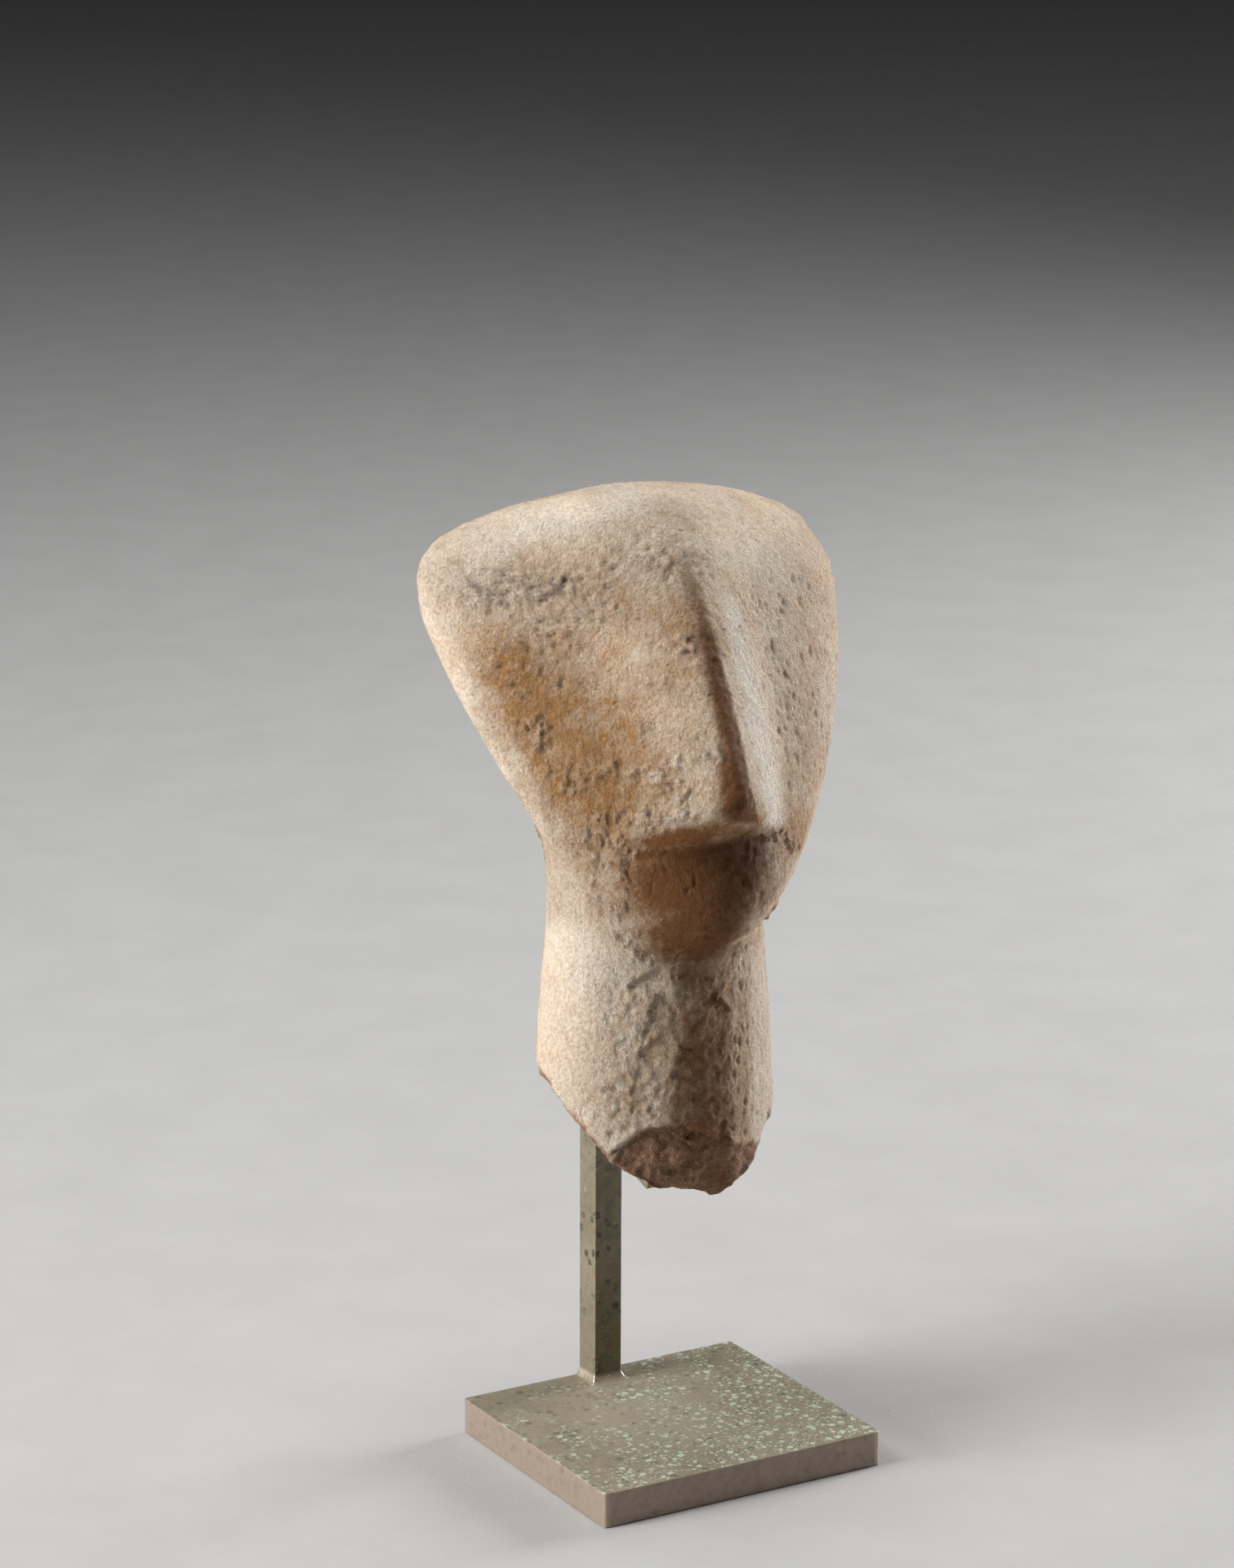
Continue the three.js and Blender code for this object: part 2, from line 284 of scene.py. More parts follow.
def split(P, T):
    """Each triangle in four."""
    e = np.sort(np.concatenate([T[:, (0, 1)], T[:, (1, 2)], T[:, (2, 0)]]), 1)
    key = e[:, 0] * len(P) + e[:, 1]
    uniq, inv = np.unique(key, return_inverse=True)
    mid = (P[uniq // len(P)] + P[uniq % len(P)]) / 2
    m = inv.reshape(3, -1) + len(P)
    a, b, c = T.T
    ab, bc, ca = m
    return np.concatenate([P, mid]), np.concatenate(
        [np.stack(q, 1) for q in ((a, ab, ca), (ab, b, bc), (ca, bc, c), (ab, bc, ca))])


def density(P):
    """More triangles where the stone is rough: the face, the front of the neck and the break."""
    front = sstep(8, -8, P[:, 1] - 0.36 * (P[:, 2] - 95))
    low = sstep(58, 50, P[:, 2])
    neck = sstep(6, -6, P[:, 1]) * sstep(80, 70, P[:, 2])
    return 1.0 + 1.3 * np.maximum(front, low) + 0.9 * neck


def relax(P, T, rounds, pull=0.9):
    n = len(P)
    flat = T.ravel()
    for _ in range(rounds):
        a, b, c = P[T[:, 0]], P[T[:, 1]], P[T[:, 2]]
        mid = (a + b + c) / 3
        w = np.linalg.norm(np.cross(b - a, c - a), axis=1) * density(mid)
        ww = np.repeat(w, 3)
        tot = np.bincount(flat, ww, n)
        new = np.stack([np.bincount(flat, np.repeat(w * mid[:, i], 3), n) / tot for i in range(3)], 1)
        P = settle(P + pull * (new - P), 1)
    return P


def stone_net():
    v, T = icosphere(12)
    up = (v[:, 2] + 1) / 2
    wide = 17 + 22 * sstep(0, 1, up * 1.15)
    deep = 13 + 9 * sstep(0, 1, up * 1.1)
    P = np.stack([v[:, 0] * wide, 3 + v[:, 1] * deep + 6 * sstep(0, 1, up * 1.6 - 0.6), 91.5 + v[:, 2] * 57], 1)
    P = settle(P, 8)
    for level, rounds in enumerate((220, 90, 30, 12)):
        if level:
            P, T = split(P, T)
            P = settle(P, 2)
        P = relax(P, T, rounds)
    return settle(P, 3), T


# ---------------------------------------------------------------- where marks lie, seen from the front left
# A point's place in a 1511 x 1920 picture taken from the eye; marks on the stone are listed in these numbers.
YAW, PITCH, LEAN = (math.radians(v) for v in (-30.452354, 14.779966, 0.204408))
FOCUS, DIST, OFF_X, OFF_Y = 5900.3225, 758.3028, 8.357645, -99.170036
_back = np.array([math.sin(YAW) * math.cos(PITCH), -math.cos(YAW) * math.cos(PITCH), math.sin(PITCH)])
_right = np.array([math.cos(YAW), math.sin(YAW), 0.0])
_up = np.cross(_back, _right)
TURNED = np.array([_right * math.cos(LEAN) + _up * math.sin(LEAN), -_right * math.sin(LEAN) + _up * math.cos(LEAN), _back])
SHIFT = np.array([OFF_X, OFF_Y, -DIST])
EYE = -TURNED.T @ SHIFT
EYE_ROW = EYE + np.array([0, 0, PLATE_T])


def sheet_uv(P):
    q = P @ TURNED.T + SHIFT
    return 755.5 - FOCUS * q[:, 0] / q[:, 2], 960 + FOCUS * q[:, 1] / q[:, 2]


def spot(U, V, marks, edge=0.45):
    """The largest of several soft-edged slanting ovals (u, v, half width, half height, degrees, strength)."""
    out = np.zeros(len(U))
    for u, v, a, b, deg, s in marks:
        c, k = math.cos(math.radians(deg)), math.sin(math.radians(deg))
        x, y = (U - u) * c + (V - v) * k, -(U - u) * k + (V - v) * c
        r = np.sqrt((x / a) ** 2 + (y / b) ** 2)
        out = np.maximum(out, s * sstep(1 + edge, 1 - edge, r))
    return out


def glow(U, V, marks):
    """Soft fields that join smoothly: ovals (u, v, half width, half height, degrees, strength), half as strong at their edge."""
    left = np.ones(len(U))
    for u, v, a, b, deg, s in marks:
        c, k = math.cos(math.radians(deg)), math.sin(math.radians(deg))
        x, y = (U - u) * c + (V - v) * k, -(U - u) * k + (V - v) * c
        left *= 1 - s * np.exp(-0.69 * ((x / a) ** 2 + (y / b) ** 2))
    return 1 - left


def line_place(U, V, line):
    """Distance to a broken line, positive on its left, and how far along it the nearest point is, 0..1."""
    best, signed, along = np.full(len(U), 1e9), np.zeros(len(U)), np.zeros(len(U))
    for i, ((ax, ay), (bx, by)) in enumerate(zip(line, line[1:])):
        dx, dy = bx - ax, by - ay
        t = np.clip(((U - ax) * dx + (V - ay) * dy) / (dx * dx + dy * dy), 0, 1)
        px, py = U - ax - t * dx, V - ay - t * dy
        d = np.hypot(px, py)
        near = d < best
        best = np.where(near, d, best)
        signed = np.where(near, d * np.sign(dy * (U - ax) - dx * (V - ay)), signed)
        along = np.where(near, (i + t) / (len(line) - 1), along)
    return signed, along


def stroke(U, V, line, half_a, half_b, edge=0.5):
    """A soft brush stroke whose half width runs from one number to the other."""
    d, along = line_place(U, V, line)
    return sstep(1 + edge, 1 - edge, np.abs(d) / (half_a + (half_b - half_a) * along))


def scar(U, V, line, reach, tail=0.15):
    """Where a flake came off beside a line: how sunken a point is (0..1), and the sharp lip along it."""
    d, along = line_place(U, V, line)
    ends = sstep(0, tail, along) * sstep(1, 1 - tail, along)
    sunk = sstep(-1.5, 3.0, d) * np.exp(-np.maximum(d, 0) / reach)
    lip = np.exp(-(((d + 2.6) / 3.2) ** 2))
    return sunk * ends, lip * ends


# lime crust, in clumps
CRUSTS = [(652, 893, 20, 20, -30, 1.0), (664, 903, 8, 20, 0, 1.0), (740, 938, 18, 20, 0, 0.9), (776, 946, 20, 11, -15, 0.8),
          (808, 953, 13, 22, 0, 1.0), (832, 972, 17, 16, 20, 1.0), (790, 1002, 20, 14, -20, 1.0), (818, 1002, 24, 8, -6, 1.0),
          (862, 924, 24, 13, 10, 1.0), (830, 938, 6, 11, 0, 0.9), (790, 893, 9, 14, 0, 0.7), (846, 902, 18, 12, 0, 0.6),
          (742, 1004, 22, 12, 0, 0.9), (711, 1022, 14, 11, 0, 1.0), (736, 1024, 11, 14, 0, 1.0), (756, 1032, 9, 12, 0, 0.9),
          (727, 1058, 9, 30, 0, 0.8), (764, 1064, 10, 20, 0, 0.9), (728, 1098, 8, 30, -12, 0.8), (756, 1114, 14, 14, 0, 0.9),
          (766, 1146, 14, 10, 0, 0.9), (788, 1172, 20, 9, 10, 0.8), (688, 944, 15, 14, 0, 0.8), (700, 964, 24, 11, 0, 0.8),
          (668, 985, 7, 22, -10, 0.7), (842, 790, 16, 13, 0, 0.7), (745, 718, 10, 34, 15, 0.5), (812, 690, 24, 9, 0, 0.6),
          (808, 838, 20, 14, 0, 0.4), (956, 1022, 14, 14, 40, 0.8), (972, 1034, 12, 12, 40, 0.7), (870, 968, 14, 12, 0, 0.5),
          (838, 748, 12, 12, 0, 0.4), (716, 790, 12, 12, 0, 0.35), (690, 706, 26, 10, -12, 0.5), (636, 972, 14, 18, -35, 0.5)]
# dark earth in small hollows
HOLLOWS = [([(786, 1040), (806, 1044), (826, 1042), (850, 1038)], 3.6, 2.6, 0.9), ([(782, 1030), (796, 1032)], 5, 4, 0.7),
           ([(772, 1044), (768, 1060), (764, 1078)], 4.5, 6, 0.9), ([(842, 1066), (850, 1074), (849, 1086), (840, 1092)], 2.4, 2.4, 1.0),
           ([(814, 1062), (819, 1074)], 2.0, 2.4, 0.8), ([(800, 1082), (800, 1094), (792, 1101), (780, 1102)], 1.8, 1.8, 0.6),
           ([(868, 1134), (870, 1146)], 5, 6, 1.0), ([(880, 1135), (897, 1137)], 3.0, 2.6, 0.9), ([(912, 1080), (912, 1089)], 2.6, 2.2, 0.8),
           ([(868, 1158), (884, 1160)], 3.0, 2.4, 0.5), ([(836, 1108), (858, 1118)], 5, 5, 0.5), ([(816, 1122), (820, 1136)], 4, 4, 0.5),
           ([(842, 1318), (850, 1330)], 4, 5, 0.8), ([(852, 1344), (862, 1350)], 6, 5, 0.8), ([(750, 1242), (748, 1256)], 5, 5, 0.5),
           ([(712, 1242), (714, 1252)], 3, 3, 0.6), ([(692, 1238), (700, 1233)], 2.5, 2.5, 0.5), ([(740, 1324), (744, 1334)], 4, 4, 0.6),
           ([(828, 1188), (832, 1189)], 2.5, 2.5, 0.8), ([(840, 1178), (866, 1176)], 2.0, 2.0, 0.5), ([(900, 1162), (898, 1200)], 2.0, 2.0, 0.5),
           ([(776, 1178), (786, 1168)], 3.0, 3.0, 0.7), ([(804, 691), (808, 693)], 4, 4, 0.8), ([(820, 688), (826, 690)], 3, 3, 0.7),
           ([(866, 734), (871, 738)], 3.0, 3.0, 0.7), ([(734, 742), (737, 747)], 3.5, 3.0, 0.6), ([(655, 770), (661, 773)], 3, 3, 0.5),
           ([(664, 886), (662, 898)], 3, 2, 0.7), ([(655, 900), (660, 908)], 2.5, 2.5, 0.6), ([(792, 1128), (800, 1132)], 3, 3, 0.4),
           ([(918, 1406), (914, 1420)], 5, 4, 0.7), ([(764, 1424), (770, 1428)], 4, 3, 0.7)]
# flakes lost from the front of the neck: lines with the sunken side on their left, depth in mm, reach
SCARS = [([(818, 1185), (800, 1189), (787, 1195), (776, 1201), (770, 1208), (774, 1218)], 0.55, 30),
         ([(818, 1215), (805, 1223), (797, 1233), (788, 1243)], 0.28, 20),
         ([(812, 1260), (801, 1272), (791, 1283), (780, 1290)], 0.34, 26),
         ([(828, 1274), (835, 1290), (826, 1302), (821, 1322)], 0.40, 20),
         ([(812, 1205), (799, 1240), (789, 1262), (781, 1300), (773, 1345), (764, 1392)], 0.16, 60),
         ([(845, 1378), (818, 1376), (798, 1382), (781, 1386), (768, 1395), (752, 1409), (744, 1418)], 0.80, 90),
         ([(900, 1190), (886, 1212), (878, 1226), (866, 1236)], 0.45, 18)]
CHIPS = [([(886, 1222), (893, 1236)], 2.2, 1.8, 0.30), ([(890, 1372), (888, 1388)], 1.8, 1.8, 0.25),
         ([(889, 1396), (907, 1401)], 2.8, 2.2, 0.40), ([(884, 1214), (872, 1231)], 1.6, 1.4, 0.25)]
PITTED = [(622, 716, 90, 40, -6, 1.0), (700, 745, 90, 34, 0, 0.6), (790, 690, 80, 26, 4, 0.5), (965, 780, 50, 130, 0, 0.22),
          (655, 800, 60, 50, 0, 0.7)]
SMOOTH = [(690, 620, 170, 18, -8, 0.55), (545, 800, 26, 120, -26, 0.6), (630, 950, 20, 70, -36, 0.5), (860, 1090, 90, 60, 0, 0.35),
          (915, 660, 70, 30, 10, 0.4), (760, 800, 34, 36, 0, 0.5)]
# upper edge of the broken face at the front, from right to left
FRACTURE = [(932, 1394), (907, 1402), (890, 1399), (868, 1385), (845, 1378), (818, 1376), (798, 1382), (781, 1386), (768, 1395),
            (752, 1409), (740, 1424)]


def relief(P, N):
    """Height above the smooth stone in mm, and the masks that the stains and the painted light and shade use, at each
    point.
    """
    U, V = sheet_uv(P)
    to_eye = EYE - P
    to_eye /= np.linalg.norm(to_eye, axis=1)[:, None]
    look = (N * to_eye).sum(1)
    facing = sstep(-0.05, 0.25, look)
    Z = P[:, 2]
    headness = sstep(70, 84, Z - 0.25 * P[:, 1])
    stump = sstep(1.5, 0.1, -break_distance(P) + 0.9 * noise(P, 3.2, 24) + 0.4 * noise(P, 1.3, 25))  # 1 on the broken faces

    w1 = np.stack([noise(P, 2.4, 51), noise(P, 2.4, 52), noise(P, 2.4, 53)], 1)
    Uj, Vj = U + 4.0 * w1[:, 0] + 2.5 * noise(P, 1.1, 54), V + 4.0 * w1[:, 1] + 2.5 * noise(P, 1.1, 55)
    below, _ = line_place(Uj, Vj, FRACTURE)
    below += 5.0 * noise(P, 3.4, 26) + 3.0 * noise(P, 1.3, 27)
    stump = np.maximum(stump, facing * sstep(-3, 6, below) * sstep(1364, 1378, V))
    rough = np.clip(0.5 + 0.9 * fbm(P, 14, 2, 21), 0.05, 1.3)
    pitted = spot(U, V, PITTED, 0.6) * facing
    neck_left = facing * sstep(762, 700, U) * sstep(1110, 1150, V)
    under_strip = facing * stroke(Uj, Vj, [(800, 1032), (850, 1024), (900, 1014), (945, 1003)], 13, 14, 0.7)
    calm = np.clip(0.7 * neck_left + 0.75 * under_strip + facing * spot(Uj, Vj, SMOOTH, 0.8), 0, 1)
    striae = facing * spot(U, V, [(745, 930, 85, 90, 0, 1.0), (690, 980, 60, 60, -30, 0.8), (830, 880, 60, 90, -8, 0.7)], 0.6)

    # slow unevenness, then the grain of the weathered surface
    h = 0.20 * fbm(P, 16, 2, 3) + 0.14 * fbm(P, 5, 2, 5)
    amp = (0.45 + 0.75 * rough + 1.5 * pitted) * (1 - 0.75 * calm)
    h += amp * (0.085 * fbm(P, 2.1, 2, 11) + 0.070 * noise(P, 1.05, 12))
    h += striae * 0.105 * noise(P, (1.15, 4.0, 7.0), 14)
    # pits left by dissolved grains, longer across the forehead and upright on the right
    right = facing * sstep(880, 940, U)
    f1, _, r1 = cells(P, (2.5, 2.0, 1.5), 31)
    f2, _, r2 = cells(P, (1.5, 2.0, 2.6), 33)
    f3, _, r3 = cells(P, 1.35, 32)
    pa = sstep(0.44, 0.10, f1) * (r1 > 0.5) * (1 - right)
    pb = sstep(0.44, 0.10, f2) * (r2 > 0.45) * (0.35 + 0.65 * right)
    pc = sstep(0.48, 0.15, f3) * (r3 > 0.55)
    pit_amt = (0.25 + 0.8 * rough + 1.3 * pitted) * (1 - 0.85 * calm)
    pits = np.clip(0.24 * np.maximum(pa, pb) + 0.16 * pc, 0, 0.38) * pit_amt
    h -= pits
    # lime crust in crumbly clumps, and odd crumbs elsewhere
    zone = spot(Uj, Vj, CRUSTS, 0.85) * facing
    zone = np.maximum(zone, (1 - facing) * 0.45 * sstep(0.20, 0.55, fbm(P, 20, 2, 41)))
    crumb = 0.34 * noise(P + 0.5 * w1, 2.1, 57) + 0.52 * noise(P, 1.0, 58)
    crust = sstep(0.34, 0.50, crumb + 0.50 * zone + 0.04 * rough) * (0.40 + 0.60 * sstep(0.05, 0.4, zone)) * (1 - 0.9 * calm)
    h += crust * (0.16 + 0.26 * np.clip(noise(P, 1.2, 59) + 0.4, 0, 1))
    h -= 0.10 * zone * (1 - crust)
    # hollows with dark earth in them
    dark = np.zeros(len(P))
    for line, a, b, s in HOLLOWS:
        dark = np.maximum(dark, s * stroke(Uj, Vj, line, 0.8 * a, 0.8 * b, 0.7))
    dark = 0.65 * dark * facing * sstep(-0.3, 0.3, noise(P, 0.95, 61) + 0.2)
    h -= 0.30 * dark * (0.4 + 0.6 * headness)
    # the chip at the right end of the crown
    chip = spot(U, V, [(996, 652, 17, 9, 52, 1.0)], 0.5) * sstep(-0.6, 0.1, look)
    h -= 0.75 * chip

    # the weathered and flaked front of the neck
    on_neck = (1 - headness) * facing
    patch = on_neck * spot(Uj, Vj, [(770, 1235, 52, 116, -6, 1.0), (756, 1345, 40, 48, -14, 1.0), (780, 1160, 34, 36, 0, 0.8)], 0.8)
    crumbly = on_neck * spot(Uj, Vj, [(772, 1346, 38, 40, -8, 1.0), (765, 1255, 30, 70, 0, 0.6)], 0.5)
    right_of, _ = line_place(U + 3 * w1[:, 0], V, [(901, 1170), (899, 1240), (897, 1300), (896, 1400)])
    middle = on_neck * sstep(7, -5, right_of) * sstep(-122, -48, right_of)
    band = on_neck * sstep(-8, 6, right_of) * sstep(30, 16, right_of)
    # edge: the right edge of the neck, painted pale: partly bloom, partly painted light from the right lamp
    edge = on_neck * sstep(16, 30, right_of)
    h += on_neck * 0.6 * sstep(705, 838, U) * sstep(905, 850, U) * sstep(1170, 1215, V)
    h += patch * (0.24 * fbm(P, 2.6, 2, 71) + 0.17 * noise(P, 1.2, 72))
    fc, _, rc = cells(P + 0.3 * w1, 1.9, 73)
    h -= crumbly * 0.30 * sstep(0.46, 0.12, fc) * (rc > 0.35)
    h += crumbly * 0.26 * noise(P, 1.1, 74)
    slant = np.stack([P[:, 0] * 0.85 + P[:, 2] * 0.5, P[:, 1], P[:, 2] * 0.85 - P[:, 0] * 0.5], 1)
    h += middle * (0.24 * fbm(slant, (3.6, 3.0, 1.4), 2, 75) + 0.20 * fbm(P, 5, 2, 76) + 0.10 * noise(P, 1.2, 70))
    fb, _, rb = cells(P, (1.4, 1.4, 2.0), 77)
    h -= band * 0.30 * sstep(0.45, 0.12, fb) * (rb > 0.35)
    lips = np.zeros(len(P))
    for k, (line, deep, reach) in enumerate(SCARS):
        sunk, lip = scar(U + 3.0 * w1[:, 0] + 2.0 * noise(P, 1.2, 78), V + 3.0 * w1[:, 1], line, reach)
        h -= facing * deep * sunk
        h += facing * 0.25 * deep * lip
        lips = np.maximum(lips, facing * lip * min(1.0, deep + 0.2))
    for line, a, b, up in CHIPS:
        h += up * facing * stroke(Uj, Vj, line, a, b, 0.5)

    # broken faces: coarse grain and flat facets with creases between them
    fa, fb2, rf = cells(P + 1.3 * w1, (4.6, 4.6, 3.8), 81)
    facet = (rf - 0.5) * sstep(0.0, 0.28, fb2 - fa)
    fs, fs2, rs = cells(P + 0.6 * w1, (2.1, 2.1, 1.7), 82)
    flake = (rs - 0.5) * sstep(0.0, 0.30, fs2 - fs)
    raw = 0.95 * facet + 0.42 * flake + 0.55 * fbm(P, 4.2, 3, 83, 0.6) + 0.16 * noise(P, 1.15, 85) - 0.40
    near_arm = sstep(5.5, 3.5, np.abs(P[:, 0] - POST_X)) * sstep(-4, 1, P[:, 1])
    front_face = facing * stump
    h = h * (1 - stump) + stump * (raw * (1 - near_arm) + near_arm * np.minimum(raw, -0.02) * 0.5)
    sunk, lip = scar(U + 3.0 * w1[:, 0], V + 3.0 * w1[:, 1], SCARS[5][0], SCARS[5][2])
    h += front_face * (0.25 * lip - 0.35 * sunk)
    # nothing stands out at the back of the neck, where the post passes
    behind = sstep(5.0, 3.5, np.abs(P[:, 0] - POST_X)) * sstep(12, 15, P[:, 1]) * sstep(54, 50, Z)
    h = np.where(behind > 0, np.minimum(h, h * (1 - behind)), h)
    masks = dict(pits=np.clip(pits * 4.0, 0, 1), crust=crust, dark=dark, rough=rough, pitted=pitted, calm=calm,
                 neck_left=neck_left, under=under_strip, facing=facing, U=U, V=V, stump=stump, striae=striae, patch=patch,
                 crumbly=crumbly, middle=middle, band=band, edge=edge, lips=lips, zone=zone, on_neck=on_neck,
                 painted_shade_near_lit_edge=sstep(-95, -25, right_of))
    return h - 0.05, masks


def stain_and_painted_light_amounts(P, s):
    """Warm film; deep brown, partly stain and partly painted shade on the nose crest, the underside of the nose, the
    chin and the middle of the neck; dark dirt, with painted shade in pits, between crusts, on the chin and the neck;
    pale bloom, with painted light on the right flank of the nose and the right edge of the neck; grey and raw stone;
    each 0..1.
    """
    facing, u0, v0 = s["facing"], s["U"], s["V"]
    U = u0 + 9 * noise(P, 6.5, 90) + 6 * noise(P, 2.4, 92)
    V = v0 + 9 * noise(P, 6.5, 94) + 6 * noise(P, 2.4, 96)
    patch, small, tiny = fbm(P, 6, 3, 91, 0.6), fbm(P, 2.2, 3, 93, 0.6), noise(P, 1.2, 97)
    mottle = 0.24 * patch + 0.28 * small + 0.12 * tiny
    broad = fbm(P, 24, 2, 98)
    film = facing * glow(U, V, [(626, 804, 64, 42, -4, 0.60), (654, 868, 60, 80, -30, 0.68), (694, 936, 64, 76, -30, 0.76),
                                (752, 984, 52, 46, -20, 0.72), (768, 880, 46, 80, 0, 0.42), (790, 742, 100, 40, 5, 0.36),
                                (838, 800, 30, 80, -8, 0.28), (726, 1046, 30, 34, -15, 0.22), (972, 1010, 22, 40, -20, 0.55),
                                (990, 880, 24, 110, 0, 0.30), (690, 692, 90, 28, -10, 0.22), (985, 700, 26, 60, 0, 0.18)])
    rim = facing * stroke(U, V, [(520, 735), (562, 850), (604, 930), (660, 1014)], 26, 22, 1.0)
    film = film * (1 - 0.9 * rim)
    # the chin's dark brown: partly stain, partly painted shade under the nose and the jaw
    chin = facing * spot(0.5 * (U + u0) + 7 * noise(P, 1.5, 88), 0.5 * (V + v0) + 7 * noise(P, 1.5, 89),
                         [(852, 1080, 94, 64, 0, 1.0), (908, 1058, 38, 46, 0, 1.0), (852, 1140, 66, 46, 0, 1.0),
                          (860, 1190, 46, 44, 0, 0.60)], 0.7)
    # a dark line in the crease under the nose: painted shade
    crease = facing * stroke(u0 + 0.3 * (U - u0), v0 + 0.3 * (V - v0), [(782, 1050), (810, 1047), (860, 1043), (905, 1034), (935, 1026)], 8, 6, 0.8)
    chin = np.maximum(chin, crease)
    # halo: the soft fringe of the chin's brown, partly stain and partly painted shade
    halo = facing * glow(U, V, [(782, 1092, 56, 56, 0, 0.62), (790, 1042, 60, 26, 0, 0.5), (932, 1092, 26, 50, 20, 0.5)])
    # the brown line down the nose, sharp on its right and fading to the left: partly a stain, partly painted shade on
    # the crest, which faces away from both side lamps
    d, _ = line_place(u0 + 0.35 * (U - u0), v0, [(850, 680), (866, 740), (884, 810), (902, 880), (912, 925), (920, 960), (925, 992)])
    wide = 42 + 30 * sstep(900, 985, v0)
    crest = facing * sstep(6, -5, d) * sstep(-1.0, -0.2, d / wide) * sstep(650, 720, v0) * sstep(1020, 1000, v0)
    core = crest * (0.50 + 0.50 * sstep(700, 860, v0))
    # the brown middle of the neck: partly stain, partly painted shade where the neck turns away from both side lamps
    neck_mid = s["middle"] * sstep(1140, 1180, v0)
    away = (1 - facing) * np.clip(0.34 + 0.62 * fbm(P, 18, 2, 95), 0, 0.85)
    warm = np.maximum(0.18 + 0.12 * broad + 0.85 * film, away) * (1 - 0.35 * s["neck_left"]) + mottle
    warm = np.maximum(warm, 0.9 * core + 0.5 * mottle)
    # warm brown on the chin and on the underside of the nose: partly stain, partly painted shade
    warm = np.maximum(warm, np.maximum(0.95 * chin, (0.95 - 0.30 * sstep(850, 930, u0)) * s["under"]) + 0.4 * mottle * chin)
    warm = np.maximum(warm, (0.75 * halo + mottle) * (halo > 0.12))
    warm = np.maximum(warm, np.maximum(0.78 * neck_mid, 0.60 * s["band"]) + mottle * neck_mid)
    inner = sstep(745, 840, u0)
    warm = np.maximum(warm, (0.34 + 0.36 * inner + mottle) * s["patch"])
    # deep brown on the chin and the nose crest: partly stain, partly painted shade
    deep = np.maximum(chin * (0.92 + 0.7 * mottle), core * (0.92 + 0.6 * mottle))
    # deep brown on the underside of the nose, strongest at its left: partly stain, partly painted shade
    deep = np.maximum(deep, s["under"] * (0.84 - 0.60 * sstep(825, 925, u0) + 0.5 * mottle))
    deep = np.maximum(deep, 0.30 * halo)
    # painted shade: the brown deepens towards the right edge of the neck's middle, beside the lit edge
    deep = np.maximum(deep, neck_mid * (0.26 + 0.40 * s["painted_shade_near_lit_edge"] + 0.9 * mottle))
    deep = np.maximum(deep, s["band"] * (0.26 + 0.4 * mottle))
    deep = np.maximum(deep, (1 - facing) * 0.5 * sstep(0.25, 0.6, fbm(P, 14, 2, 99)))
    # dark: dirt in hollows and pits, with painted shade in the pits, between the crust clumps, on the chin and in the
    # middle of the neck
    dark = (0.26 * s["pits"] + 0.85 * s["dark"] + 0.08 * s["zone"] * (1 - s["crust"])
            + 0.50 * chin * sstep(0.18, 0.55, small + 0.4 * tiny) + 0.35 * neck_mid * sstep(0.2, 0.6, small)
            + 0.25 * s["crumbly"] * sstep(0.0, 0.5, tiny) + 0.3 * s["stump"] * sstep(0.1, 0.5, small))
    pale = facing * glow(U, V, [(600, 690, 50, 26, -20, 0.45), (700, 635, 110, 20, -10, 0.55), (940, 690, 40, 60, -20, 0.40),
                                (985, 720, 34, 80, 0, 0.30), (775, 800, 26, 50, -10, 0.25), (810, 900, 26, 70, -5, 0.20)])
    # pale on the right flank of the nose and the right edge of the neck: partly bloom, partly painted light from the
    # right lamp
    d2, _ = line_place(u0 + 0.25 * (U - u0), v0, [(868, 700), (884, 780), (906, 870), (922, 940), (932, 1000)])
    flank = facing * sstep(-2, 14, d2) * sstep(46, 18, d2) * sstep(690, 760, v0) * sstep(1022, 1004, v0)
    pale = np.maximum(np.maximum(pale, 0.85 * flank), np.maximum(0.30 * s["patch"] * (1 - inner), 0.50 * s["edge"]))
    pale = pale * (0.9 + 0.8 * mottle) + 0.14 * s["crust"] * (1 - 0.6 * chin) + 0.20 * s["lips"]
    pale = pale * (1 - 0.9 * s["stump"])
    grey = facing * spot(U, V, [(620, 722, 84, 32, -8, 0.95), (665, 722, 60, 16, -4, 1.0), (580, 752, 34, 34, 10, 0.7),
                                (650, 756, 70, 20, 0, 0.6), (700, 690, 40, 16, 0, 0.4), (806, 694, 26, 8, 0, 0.7)], 0.7)
    grey = grey * np.clip(0.62 + 0.45 * small + 0.25 * tiny, 0, 1)
    red = facing * spot(u0 + 0.3 * (U - u0), v0 + 0.3 * (V - v0), [(691, 776, 7, 6, 0, 0.75), (620, 792, 4, 11, 0, 0.5),
                                                                  (556, 688, 8, 4, 0, 0.4), (752, 796, 6, 4, 0, 0.4)], 0.6)
    raw = np.maximum(np.maximum(s["stump"], 0.22 * neck_mid), red)
    return tuple(np.clip(x, 0, 1) for x in (warm, deep, dark, pale, grey, raw))


def mesh_object(name, V, F, smooth=True):
    me = bpy.data.meshes.new(name)
    me.from_pydata(np.asarray(V, float).tolist(), [], np.asarray(F).tolist() if isinstance(F, np.ndarray) else F)
    me.validate()
    me.update()
    if smooth:
        me.polygons.foreach_set("use_smooth", np.ones(len(me.polygons), bool))
    o = bpy.data.objects.new(name, me)
    bpy.context.scene.collection.objects.link(o)
    return o


